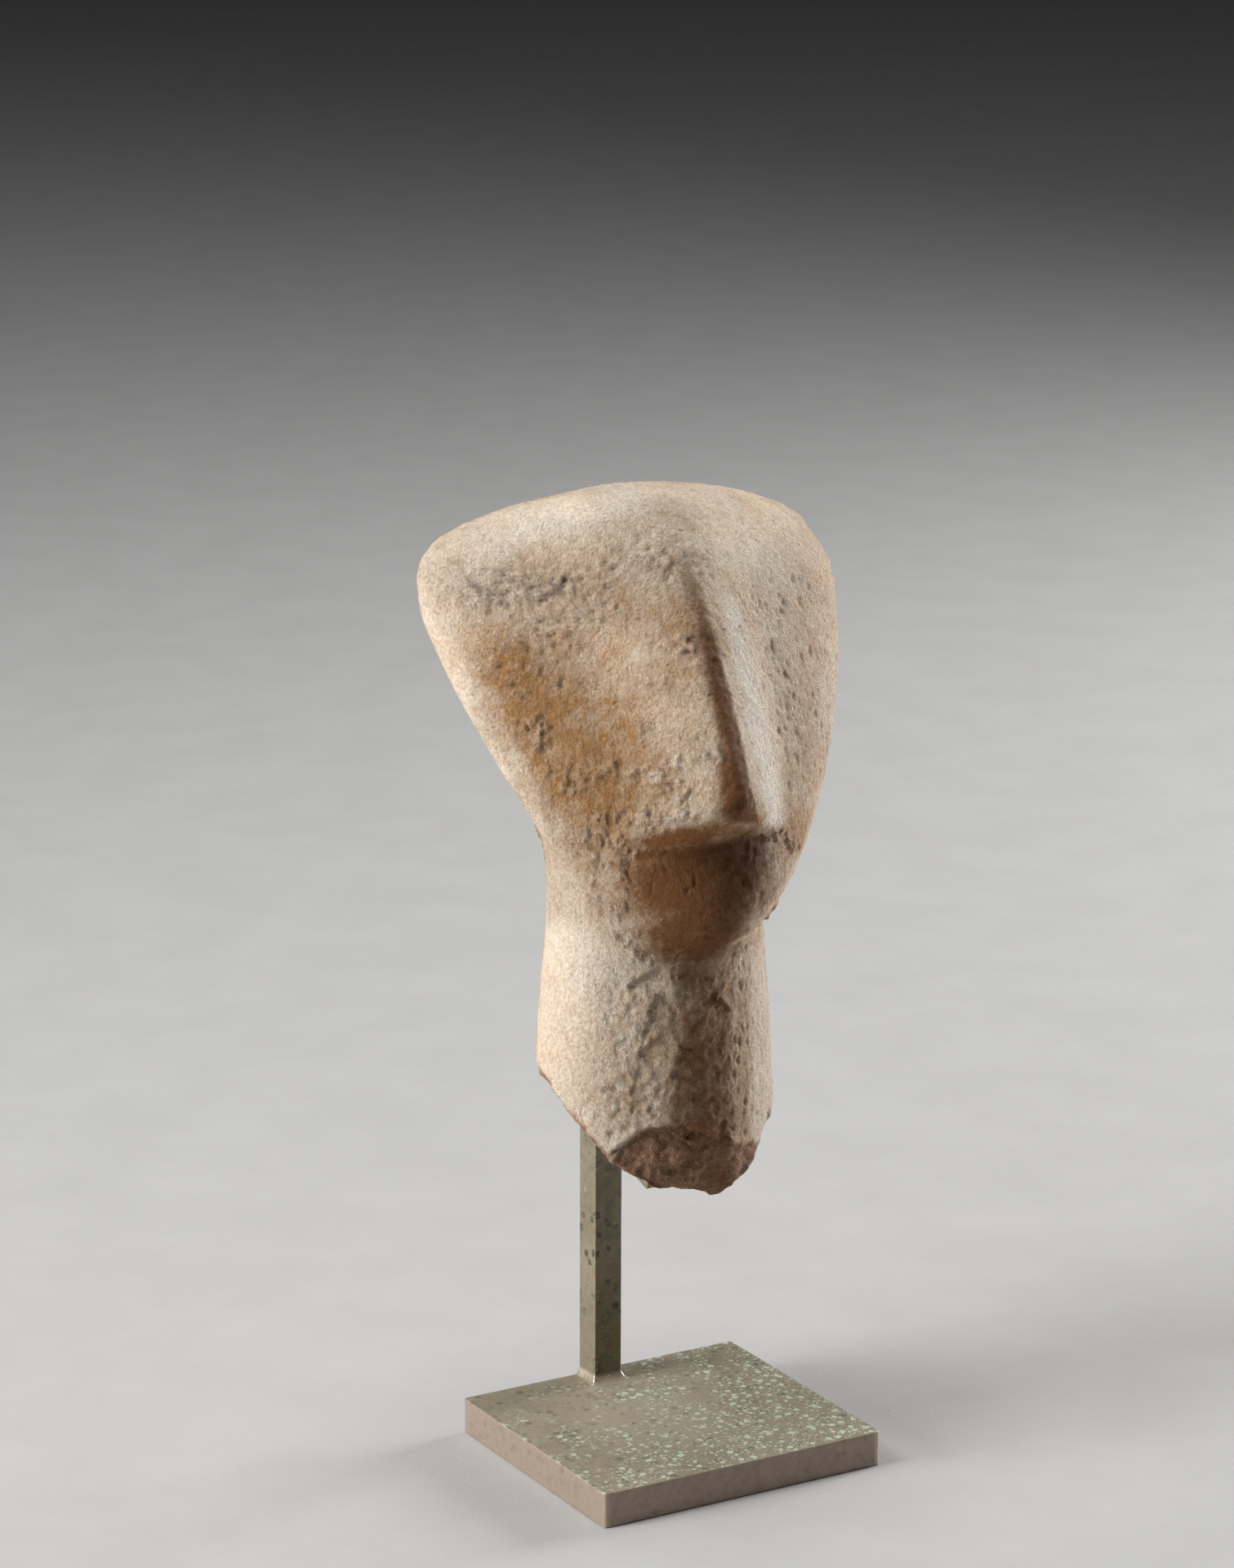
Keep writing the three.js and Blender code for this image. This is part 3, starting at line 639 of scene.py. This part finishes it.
def paint(o, name, *channels):
    n = len(channels[0])
    rgba = np.stack([np.clip(c, 0, 1) for c in channels] + [np.ones(n)], 1)
    a = o.data.color_attributes.new(name, "FLOAT_COLOR", "POINT")
    a.data.foreach_set("color", np.asarray(rgba, np.float32).ravel())


def make_stone():
    P, T = stone_net()
    N = slope_of(P)
    N /= np.linalg.norm(N, axis=1)[:, None]
    h, s = relief(P, N)
    warm, deep, dark, pale, grey, raw = stain_and_painted_light_amounts(P, s)
    Q = P + N * h[:, None]
    V = (Q + np.array([0, 0, PLATE_T])) * MM
    lo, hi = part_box("marble_head")
    V = np.clip(V, np.array(lo) + 2e-5, np.array(hi) - 2e-5)
    o = mesh_object("marble_head_carved", V, T)
    paint(o, "stain_and_shade", warm, deep, dark)
    paint(o, "bloom_and_light", pale, grey, raw)
    paint(o, "grain", s["striae"], 0.45 + 0.55 * s["pitted"], s["calm"])
    paint(o, "flake", s["zone"], np.clip(s["rough"] - 0.2, 0, 1), np.maximum(s["patch"], 0.8 * s["stump"]))
    return o


# ---------------------------------------------------------------- metal stand
def rounded_bar(size, r, step, near_edge=3):
    """Net of a block with rounded edges, from -size/2 to size/2: vertices and quads, closed."""
    lines = []
    for s in size:
        n = max(2, int(round((s - 2 * r) / step)))
        inner = np.linspace(-s / 2 + r, s / 2 - r, n + 1)
        a = np.linspace(0, math.pi / 4, near_edge + 1)[1:]
        lip = r * np.tan(a)
        lines.append(np.concatenate([(-s / 2 + r) - lip[::-1], inner, (s / 2 - r) + lip]))
    verts, quads, known = [], [], {}
    half = [s / 2 for s in size]

    def put(p):
        core = [max(-h + r, min(h - r, c)) for c, h in zip(p, half)]
        d = np.array(p) - core
        length = np.linalg.norm(d)
        q = np.array(core) + (d / length * r if length > 0 else 0)
        key = tuple(np.round(p, 5))
        if key not in known:
            known[key] = len(verts)
            verts.append(q)
        return known[key]

    for axis in range(3):
        i, j = (axis + 1) % 3, (axis + 2) % 3
        for sign in (-1, 1):
            ids = np.empty((len(lines[i]), len(lines[j])), int)
            for a, u in enumerate(lines[i]):
                for b, v in enumerate(lines[j]):
                    p = [0, 0, 0]
                    p[axis], p[i], p[j] = sign * half[axis], u, v
                    ids[a, b] = put(p)
            for a in range(len(lines[i]) - 1):
                for b in range(len(lines[j]) - 1):
                    q = [ids[a, b], ids[a + 1, b], ids[a + 1, b + 1], ids[a, b + 1]]
                    quads.append(q if sign > 0 else q[::-1])
    return np.array(verts), quads


def make_plate():
    V, F = rounded_bar((PLATE_W - 0.02, PLATE_D - 0.02, PLATE_T), 0.28, 1.1)
    # corners a little softer in plan, and hand-filed edges that aren't quite straight
    x, y = np.abs(V[:, 0]) - (PLATE_W / 2 - 0.9), np.abs(V[:, 1]) - (PLATE_D / 2 - 0.9)
    over = np.maximum(np.hypot(np.maximum(x, 0), np.maximum(y, 0)) - 0.9, 0)
    c = np.stack([np.sign(V[:, 0]) * np.maximum(x, 0), np.sign(V[:, 1]) * np.maximum(y, 0), 0 * x], 1)
    V = V - c / np.maximum(np.linalg.norm(c, axis=1), 1e-6)[:, None] * over[:, None]
    inward = -np.sign(V) * np.array([1, 1, 0])
    edge = sstep(1.2, 0.0, np.minimum(PLATE_W / 2 - np.abs(V[:, 0]), PLATE_D / 2 - np.abs(V[:, 1])))
    wear = np.maximum(0.03 + 0.03 * noise(V, 6.0, 201) + 0.03 * noise(V, 1.7, 202), 0)
    V = V + inward * (edge * wear)[:, None] * 0.8
    top = V[:, 2] > 0
    V[:, 2] -= np.where(top, 0.02 + 0.02 * noise(V * np.array([1, 1, 0]), 9.0, 203), 0)
    V[:, 2] += PLATE_T / 2
    return mesh_object("base_plate_patinated", V * MM, F)


def make_post():
    V, F = rounded_bar((BAR, BAR, POST_H), 0.22, 0.8)
    z = V[:, 2] + POST_H / 2
    low = BRAZE * (1 + 0.15 * noise(V * np.array([1, 1, 0]) + 7, 2.2, 211))
    # the lowest rings spread into the braze
    t = np.clip(z / low, 0, 1)
    out = np.minimum(low, BRAZE) * (1 - np.sqrt(np.clip(1 - (1 - t) ** 2, 0, 1)))
    V[:, 0] += V[:, 0] / (BAR / 2) * out
    V[:, 1] -= (BAR / 2 - V[:, 1]) / BAR * out
    n = noise(V, 5.0, 213) * 0.015
    V[:, 0] -= np.sign(V[:, 0]) * (0.02 + n)
    V[:, 1] -= np.sign(V[:, 1]) * (0.02 + n)
    V += np.array([POST_X, POST_BACK - BAR / 2, POST_H / 2 + PLATE_T])
    return mesh_object("post_patinated", V * MM, F)


def make_arm():
    ln = math.hypot(1, ARM_SLOPE)
    c, s = 1 / ln, ARM_SLOPE / ln
    end = POST_BACK - BAR
    L = 20.0
    V, F = rounded_bar((BAR, L, BAR), 0.22, 0.7)
    t = V[:, 2] + BAR / 2  # across, from the lower face
    y0 = ARM_TIP_Y - t * s
    full = (end - y0) / c
    k = (V[:, 1] + L / 2) / L
    # keep the rounding of the front end, stretch the rest up to the post
    a = np.where(k < 0.05, k * L, 1.0 + (k - 0.05) / 0.95 * (full + 0.15 - 1.0))
    V = np.stack([V[:, 0] + POST_X, y0 + a * c, ARM_TIP_Z + t * c + a * s + PLATE_T], 1)
    V[:, 0] -= np.sign(V[:, 0] - POST_X) * 0.02
    V[:, 2] += 0.012 * noise(V, 4.0, 221)
    return mesh_object("support_arm_patinated", V * MM, F)


# ---------------------------------------------------------------- materials
class Nodes:
    """Short way to write a node tree."""

    def __init__(self, name):
        self.mat = bpy.data.materials.new(name)
        self.mat.use_nodes = True
        self.t = self.mat.node_tree
        self.t.nodes.clear()
        self.out = self.t.nodes.new("ShaderNodeOutputMaterial")
        self.bsdf = self.t.nodes.new("ShaderNodeBsdfPrincipled")
        self.link(self.bsdf.outputs[0], self.out.inputs[0])
        self.coord = self.t.nodes.new("ShaderNodeTexCoord").outputs["Object"]

    def link(self, a, b):
        self.t.links.new(a, b)

    def put(self, socket, value):
        if isinstance(value, bpy.types.NodeSocket):
            self.link(value, socket)
        elif isinstance(value, (tuple, list)) and len(value) == 3 and socket.type == "RGBA":
            socket.default_value = (*value, 1)
        else:
            socket.default_value = value

    def set(self, name, value):
        self.put(self.bsdf.inputs[name], value)

    def attr(self, name):
        n = self.t.nodes.new("ShaderNodeAttribute")
        n.attribute_name = name
        s = self.t.nodes.new("ShaderNodeSeparateColor")
        self.link(n.outputs["Color"], s.inputs[0])
        return s.outputs[0], s.outputs[1], s.outputs[2]

    def xyz(self, vec):
        s = self.t.nodes.new("ShaderNodeSeparateXYZ")
        self.link(vec, s.inputs[0])
        return s.outputs[0], s.outputs[1], s.outputs[2]

    def normal(self):
        return self.xyz(self.t.nodes.new("ShaderNodeNewGeometry").outputs["Normal"])

    def stretched(self, sx, sy, sz, rot=(0, 0, 0)):
        m = self.t.nodes.new("ShaderNodeMapping")
        m.inputs["Scale"].default_value = (sx, sy, sz)
        m.inputs["Rotation"].default_value = rot
        self.link(self.coord, m.inputs["Vector"])
        return m.outputs[0]

    def noise(self, per_m, detail=3, rough=0.55, vec=None):
        n = self.t.nodes.new("ShaderNodeTexNoise")
        self.link(vec or self.coord, n.inputs["Vector"])
        n.inputs["Scale"].default_value = per_m
        n.inputs["Detail"].default_value = detail
        n.inputs["Roughness"].default_value = rough
        return n.outputs[0]

    def dots(self, per_m, lo, hi, spread=0.6, vec=None, flat=False, ragged=None):
        """Round spots of random size, 1 in their middle; spread makes more of the cells empty."""
        n = self.t.nodes.new("ShaderNodeTexVoronoi")
        if flat:
            n.voronoi_dimensions = "2D"
        self.link(vec or self.coord, n.inputs["Vector"])
        n.inputs["Scale"].default_value = per_m
        s = self.t.nodes.new("ShaderNodeSeparateColor")
        self.link(n.outputs["Color"], s.inputs[0])
        d = self.math("MULTIPLY_ADD", s.outputs[0], spread, n.outputs["Distance"])
        if ragged is not None:
            d = self.math("MULTIPLY_ADD", self.math("SUBTRACT", ragged, 0.5), 0.45, d)
        return self.ramp(d, lo, hi, 1, 0)

    def math(self, op, a, b=0.0, c=None, clamp=False):
        n = self.t.nodes.new("ShaderNodeMath")
        n.operation = op
        n.use_clamp = clamp
        self.put(n.inputs[0], a)
        self.put(n.inputs[1], b)
        if c is not None:
            self.put(n.inputs[2], c)
        return n.outputs[0]

    def wobble(self, x, field, amount):
        """x moved up and down by a noise field of mean 0.5."""
        return self.math("MULTIPLY_ADD", self.math("SUBTRACT", field, 0.5), amount, x, clamp=True)

    def ramp(self, x, lo, hi, a=0.0, b=1.0, smooth=True):
        n = self.t.nodes.new("ShaderNodeMapRange")
        n.interpolation_type = "SMOOTHSTEP" if smooth else "LINEAR"
        self.put(n.inputs["Value"], x)
        n.inputs["From Min"].default_value = lo
        n.inputs["From Max"].default_value = hi
        n.inputs["To Min"].default_value = a
        n.inputs["To Max"].default_value = b
        return n.outputs[0]

    def mix(self, f, a, b, mode="MIX"):
        n = self.t.nodes.new("ShaderNodeMix")
        n.data_type = "RGBA"
        n.blend_type = mode
        n.clamp_factor = True
        self.put(n.inputs[0], f)
        self.put(n.inputs[6], a)
        self.put(n.inputs[7], b)
        return n.outputs[2]

    def shade(self, c, value):
        n = self.t.nodes.new("ShaderNodeHueSaturation")
        self.put(n.inputs["Value"], value)
        self.link(c, n.inputs["Color"])
        return n.outputs[0]

    def bump(self, height, dist, strength=1.0, prev=None):
        n = self.t.nodes.new("ShaderNodeBump")
        n.inputs["Distance"].default_value = dist
        n.inputs["Strength"].default_value = strength
        self.put(n.inputs["Height"], height)
        if prev is not None:
            self.link(prev, n.inputs["Normal"])
        return n.outputs[0]


def marble_material():
    m = Nodes("marble")
    warm, deep, dark = m.attr("stain_and_shade")
    pale, grey, raw = m.attr("bloom_and_light")
    striae, pitty, calm = m.attr("grain")
    fine = m.noise(1500, 5, 0.65)
    blot = m.noise(300, 5, 0.65)
    wide = m.noise(75, 4, 0.6)
    streak = m.noise(1.0, 4, 0.6, vec=m.stretched(1300, 700, 240, (math.radians(-20), 0, 0)))
    pit_a = m.dots(720, 0.06, 0.42, 0.55, m.stretched(0.72, 1, 1.15))
    pit_b = m.dots(900, 0.06, 0.40, 0.60, m.stretched(1.25, 1, 0.68))
    pit_c = m.dots(1700, 0.10, 0.42, 0.50)
    # small flat-topped flakes of crust, more of them where the mesh has its clumps
    clump, coarse, broken = m.attr("flake")
    lift_a = m.math("MULTIPLY_ADD", clump, 0.11, m.math("MULTIPLY_ADD", coarse, 0.035, m.noise(560, 4, 0.62)))
    lift_a = m.math("MULTIPLY_ADD", broken, 0.05, lift_a)
    flakes = m.ramp(lift_a, 0.585, 0.622)
    rugged = m.math("ADD", m.math("MULTIPLY", broken, 0.85), m.ramp(coarse, 0.45, 1.0, 0.14, 0.55))
    rugged = m.math("ADD", clump, rugged, clamp=True)
    lift_b = m.math("MULTIPLY_ADD", clump, 0.08, m.math("MULTIPLY_ADD", coarse, 0.04, m.noise(1250, 4, 0.65)))
    crumbs = m.ramp(lift_b, 0.575, 0.63)
    # colour: cream stone, warm film, brown earth, then what lies on top
    c = m.mix(m.ramp(wide, 0.35, 0.65), (0.87, 0.685, 0.515), (0.90, 0.77, 0.62))
    w = m.wobble(m.wobble(warm, blot, 0.6), fine, 0.55)
    c = m.mix(m.ramp(w, 0.08, 0.92, 0, 1, False), c, (0.52, 0.272, 0.106))
    d = m.wobble(m.wobble(deep, blot, 0.40), fine, 0.35)
    c = m.mix(m.ramp(d, 0.08, 0.86, 0, 0.96), c, (0.205, 0.080, 0.023))
    rb = m.mix(m.ramp(blot, 0.3, 0.7), (0.32, 0.150, 0.075), (0.50, 0.27, 0.155))
    rb = m.mix(m.ramp(m.noise(900, 4, 0.7), 0.54, 0.68, 0, 0.45), rb, (0.72, 0.50, 0.35))
    c = m.mix(m.math("MULTIPLY", raw, 0.92), c, rb)
    g = m.wobble(m.wobble(grey, m.noise(1150, 4, 0.7), 1.5), blot, 0.5)
    c = m.mix(m.math("MULTIPLY", m.ramp(g, 0.42, 0.80, 0, 0.74), m.ramp(grey, 0.04, 0.20)), c, (0.31, 0.235, 0.205))
    # painted shade: brown in the low ground between the raised crust flakes, whose bump casts no shadow
    low = m.math("MULTIPLY", clump, m.ramp(flakes, 0, 1, 0.42, 0.0))
    c = m.mix(low, c, (0.44, 0.245, 0.13))
    p = m.wobble(m.wobble(pale, blot, 0.7), fine, 0.6)
    p = m.math("MULTIPLY_ADD", m.math("MULTIPLY", flakes, m.ramp(deep, 0, 1, 0.30, 0.04)), rugged, p)
    c = m.mix(m.ramp(p, 0.15, 0.95, 0, 0.85), c, (0.92, 0.845, 0.74))
    c = m.mix(m.ramp(m.wobble(dark, fine, 0.5), 0.12, 0.85, 0, 0.85), c, (0.15, 0.078, 0.04))
    hollow = m.math("MAXIMUM", m.math("MAXIMUM", pit_a, m.math("MULTIPLY", pit_b, 0.85)), m.math("MULTIPLY", pit_c, 0.55))
    hollow = m.math("MULTIPLY", hollow, m.ramp(calm, 0, 1, 1, 0.22))
    # dirt in the pits, darkened further as painted shade of the fine relief
    c = m.mix(m.math("MULTIPLY", hollow, m.ramp(blot, 0.35, 0.65, 0.20, 0.58)), c, (0.36, 0.19, 0.10))
    c = m.mix(m.ramp(m.noise(620, 3, 0.6), 0.66, 0.76, 0, 0.35), c, (0.48, 0.25, 0.15))
    c = m.shade(c, m.ramp(m.noise(2100, 3, 0.65), 0.3, 0.72, 0.80, 1.16))
    m.set("Base Color", c)
    m.set("Roughness", m.ramp(fine, 0.3, 0.7, 0.60, 0.82))
    m.set("Specular IOR Level", 0.20)
    m.set("Subsurface Weight", 0.06)
    m.set("Subsurface Radius", (1.0, 0.6, 0.35))
    m.set("Subsurface Scale", 0.0012)
    # relief finer than the mesh; heights in mm
    grain = m.noise(1700, 6, 0.74)
    h = m.math("MULTIPLY", grain, m.math("MULTIPLY", m.ramp(pitty, 0, 1, 0.62, 1.20), m.ramp(coarse, 0, 0.9, 0.80, 1.15)))
    h = m.math("MULTIPLY_ADD", hollow, m.math("MULTIPLY", m.ramp(m.noise(140, 3, 0.6), 0.38, 0.62, 0.45, 1.2), -0.34), h)
    h = m.math("MULTIPLY_ADD", m.math("MULTIPLY", flakes, rugged), 0.26, h)
    h = m.math("MULTIPLY_ADD", m.math("MULTIPLY", crumbs, rugged), 0.16, h)
    h = m.math("MULTIPLY_ADD", m.math("MULTIPLY", streak, striae), 0.42, h)
    h = m.math("MULTIPLY_ADD", m.math("MULTIPLY", m.noise(700, 5, 0.7), raw), 1.3, h)
    h = m.math("MULTIPLY", h, m.ramp(calm, 0, 1, 1, 0.38))
    m.set("Normal", m.bump(h, 0.001))
    return m.mat


def bronze_material(name, base_a, base_b, dark_amount, green_amount, top_only, rough=0.42, metal=0.3):
    m = Nodes(name)
    nx, ny, nz = m.normal()
    x, y, z = m.xyz(m.coord)
    wide = m.noise(85, 3, 0.55)
    mid = m.noise(620, 4, 0.62)
    fine = m.noise(2600, 3, 0.6)
    up = m.ramp(nz, 0.6, 0.92) if top_only else 1.0
    c = m.mix(m.ramp(wide, 0.35, 0.65), base_a, base_b)
    c = m.mix(m.ramp(mid, 0.42, 0.72, 0, 0.50), c, tuple(v * 0.55 for v in base_a))
    if top_only:  # the filed sides are browner and cleaner
        side = m.mix(m.ramp(mid, 0.40, 0.75, 0, 0.4), (0.39, 0.305, 0.235), (0.26, 0.205, 0.15))
        # the middle of the top is lighter: partly wear, partly painted glancing light
        off = m.math("SQRT", m.math("ADD", m.math("POWER", m.math("ADD", x, 0.003), 2.0), m.math("POWER", y, 2.0)))
        wear_and_glancing_light = m.ramp(m.math("MULTIPLY_ADD", wide, 0.010, off), 0.008, 0.024, 0.75, 0)
        c = m.mix(wear_and_glancing_light, c, (0.60, 0.52, 0.395))
        c = m.mix(m.ramp(nz, 0.25, 0.6, 1, 0), c, side)
    else:
        # painted shade: faces turned to the front (-y) are darkened
        c = m.shade(c, m.ramp(ny, -0.95, -0.5, 0.66, 1.0))
    # dark corrosion spots
    where = m.noise(210, 3, 0.6)
    frayed = m.noise(1900, 3, 0.6)
    black = m.dots(560, 0.34, 0.46, 0.40, ragged=frayed)
    black = m.math("MULTIPLY", black, m.ramp(where, 0.34, 0.50, 0, dark_amount))
    if top_only:
        black = m.math("MULTIPLY", black, m.ramp(nz, 0.25, 0.6, 0.45, 1.0))
    c = m.mix(black, c, (0.050, 0.050, 0.028))
    # pale green specks, thicker to the front right on the plate
    crowd = m.noise(150, 3, 0.55)
    if top_only:
        drift = m.math("MULTIPLY_ADD", x, 5.0, m.math("MULTIPLY", y, -7.0))
        crowd = m.math("ADD", crowd, drift)
    big = m.dots(560, 0.27, 0.38, 0.32, flat=top_only, ragged=frayed)
    little = m.dots(1200, 0.28, 0.42, 0.40, flat=top_only, ragged=frayed)
    green = m.math("MAXIMUM", big, m.math("MULTIPLY", little, 0.75))
    green = m.math("MULTIPLY", green, m.ramp(crowd, 0.32, 0.54, 0.12, 1.0))
    green = m.math("MULTIPLY", m.math("MULTIPLY", green, green_amount), up)
    haze = m.math("MULTIPLY", m.ramp(m.noise(380, 4, 0.65), 0.5, 0.72, 0, 0.35 * green_amount), up)
    c = m.mix(haze, c, (0.36, 0.375, 0.265))
    c = m.mix(green, c, (0.50, 0.59, 0.445))
    # edges rubbed bright
    most = m.math("MAXIMUM", m.math("MAXIMUM", m.math("ABSOLUTE", nx), m.math("ABSOLUTE", ny)), m.math("ABSOLUTE", nz))
    edge = m.math("MULTIPLY", m.ramp(most, 0.84, 0.975, 1, 0), m.ramp(mid, 0.35, 0.6, 0.9, 0.4))
    c = m.mix(m.math("MULTIPLY", edge, 0.65), c, (0.62, 0.53, 0.38))
    if not top_only:  # bare braze round the post's foot, made lighter in part as a painted highlight
        foot = m.ramp(z, (PLATE_T + 0.5) * MM, (PLATE_T + 1.5) * MM, 0.85, 0)
        c = m.mix(foot, c, (0.74, 0.65, 0.50))
    c = m.shade(c, m.ramp(fine, 0.3, 0.7, 0.92, 1.07))
    m.set("Base Color", c)
    m.set("Metallic", m.math("MULTIPLY", m.ramp(green, 0, 1, metal, 0.0), m.ramp(edge, 0, 1, 1.0, 1.6)))
    r = m.math("ADD", m.ramp(mid, 0.3, 0.7, rough - 0.05, rough + 0.09), m.math("MULTIPLY", green, 0.35))
    m.set("Roughness", r)
    h = m.math("MULTIPLY_ADD", fine, 0.018, m.math("MULTIPLY", mid, 0.030))
    h = m.math("MULTIPLY_ADD", green, 0.045, h)
    h = m.math("MULTIPLY_ADD", black, -0.05, h)
    m.set("Normal", m.bump(h, 0.001))
    return m.mat


def floor_material():
    m = Nodes("pale_floor")
    n = m.noise(45, 4, 0.6)
    c = m.mix(m.ramp(n, 0.3, 0.7), (0.485, 0.48, 0.475), (0.51, 0.505, 0.50))
    m.set("Base Color", c)
    m.set("Roughness", 0.75)
    m.set("Specular IOR Level", 0.3)
    m.set("Normal", m.bump(m.noise(1500, 3, 0.6), 0.0002, 0.3))
    return m.mat


# ---------------------------------------------------------------- put it together
head = make_stone()
head.data.materials.append(marble_material())
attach(head, "root")
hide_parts("marble_head")

plate = make_plate()
plate.data.materials.append(bronze_material("bronze_plate", (0.38, 0.325, 0.235), (0.46, 0.40, 0.295), 0.35, 0.88, True))
post = make_post()
post.data.materials.append(bronze_material("bronze_post", (0.34, 0.285, 0.19), (0.29, 0.24, 0.155), 0.95, 0.30, False, 0.38, 0.45))
arm = make_arm()
arm.data.materials.append(bronze_material("bronze_arm", (0.34, 0.285, 0.19), (0.29, 0.24, 0.155), 0.9, 0.45, False, 0.40, 0.45))
for piece, node in ((plate, "base_plate"), (post, "post"), (arm, "support_arm")):
    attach(piece, "root")
    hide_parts(node)

floor_half = 5.0
floor = mesh_object("floor", [(-floor_half, -floor_half, 0), (floor_half, -floor_half, 0), (floor_half, floor_half, 0),
                              (-floor_half, floor_half, 0)], [(0, 1, 2, 3)], smooth=False)
floor.data.materials.append(floor_material())

# ---------------------------------------------------------------- light and camera
scene = bpy.context.scene
world = bpy.data.worlds.new("studio")
scene.world = world
world.use_nodes = True
bg = world.node_tree.nodes.get("Background") or world.node_tree.nodes.new("ShaderNodeBackground")
bg.inputs[0].default_value = (0.97, 0.98, 1.0, 1)
bg.inputs[1].default_value = 0.02


def softbox(name, azimuth, elevation, dist, w, h, power, colour=(1, 1, 1), aim=(0.0, 0.0, 0.095)):
    a, e = math.radians(azimuth), math.radians(elevation)
    d = Vector((math.sin(a) * math.cos(e), -math.cos(a) * math.cos(e), math.sin(e)))
    light = bpy.data.lights.new(name, "AREA")
    light.shape = "RECTANGLE"
    light.size, light.size_y = w, h
    light.energy = power
    light.color = colour
    o = bpy.data.objects.new(name, light)
    o.location = Vector(aim) + d * dist
    o.rotation_euler = d.to_track_quat("Z", "Y").to_euler()
    scene.collection.objects.link(o)
    return o


softbox("key_low", -98, 8, 1.0, 0.35, 0.45, 8.5)
softbox("key_high", -97, 50, 1.0, 0.35, 0.45, 5.4)
softbox("right", 95, 8, 1.0, 0.35, 0.45, 11.8)
softbox("top", 180, 84, 1.0, 0.45, 0.45, 5.0)

cam_data = bpy.data.cameras.new("camera")
cam = bpy.data.objects.new("camera", cam_data)
scene.collection.objects.link(cam)
cam_data.sensor_width = 36
cam_data.sensor_fit = "AUTO"
cam_data.lens = FOCUS / 1920 * 36
cam_data.clip_start, cam_data.clip_end = 0.05, 30
rot = Matrix([list(r) for r in TURNED.T]).to_4x4()
cam.matrix_world = Matrix.Translation(Vector(EYE_ROW * MM)) @ rot
scene.camera = cam
scene.view_settings.view_transform = "Standard"
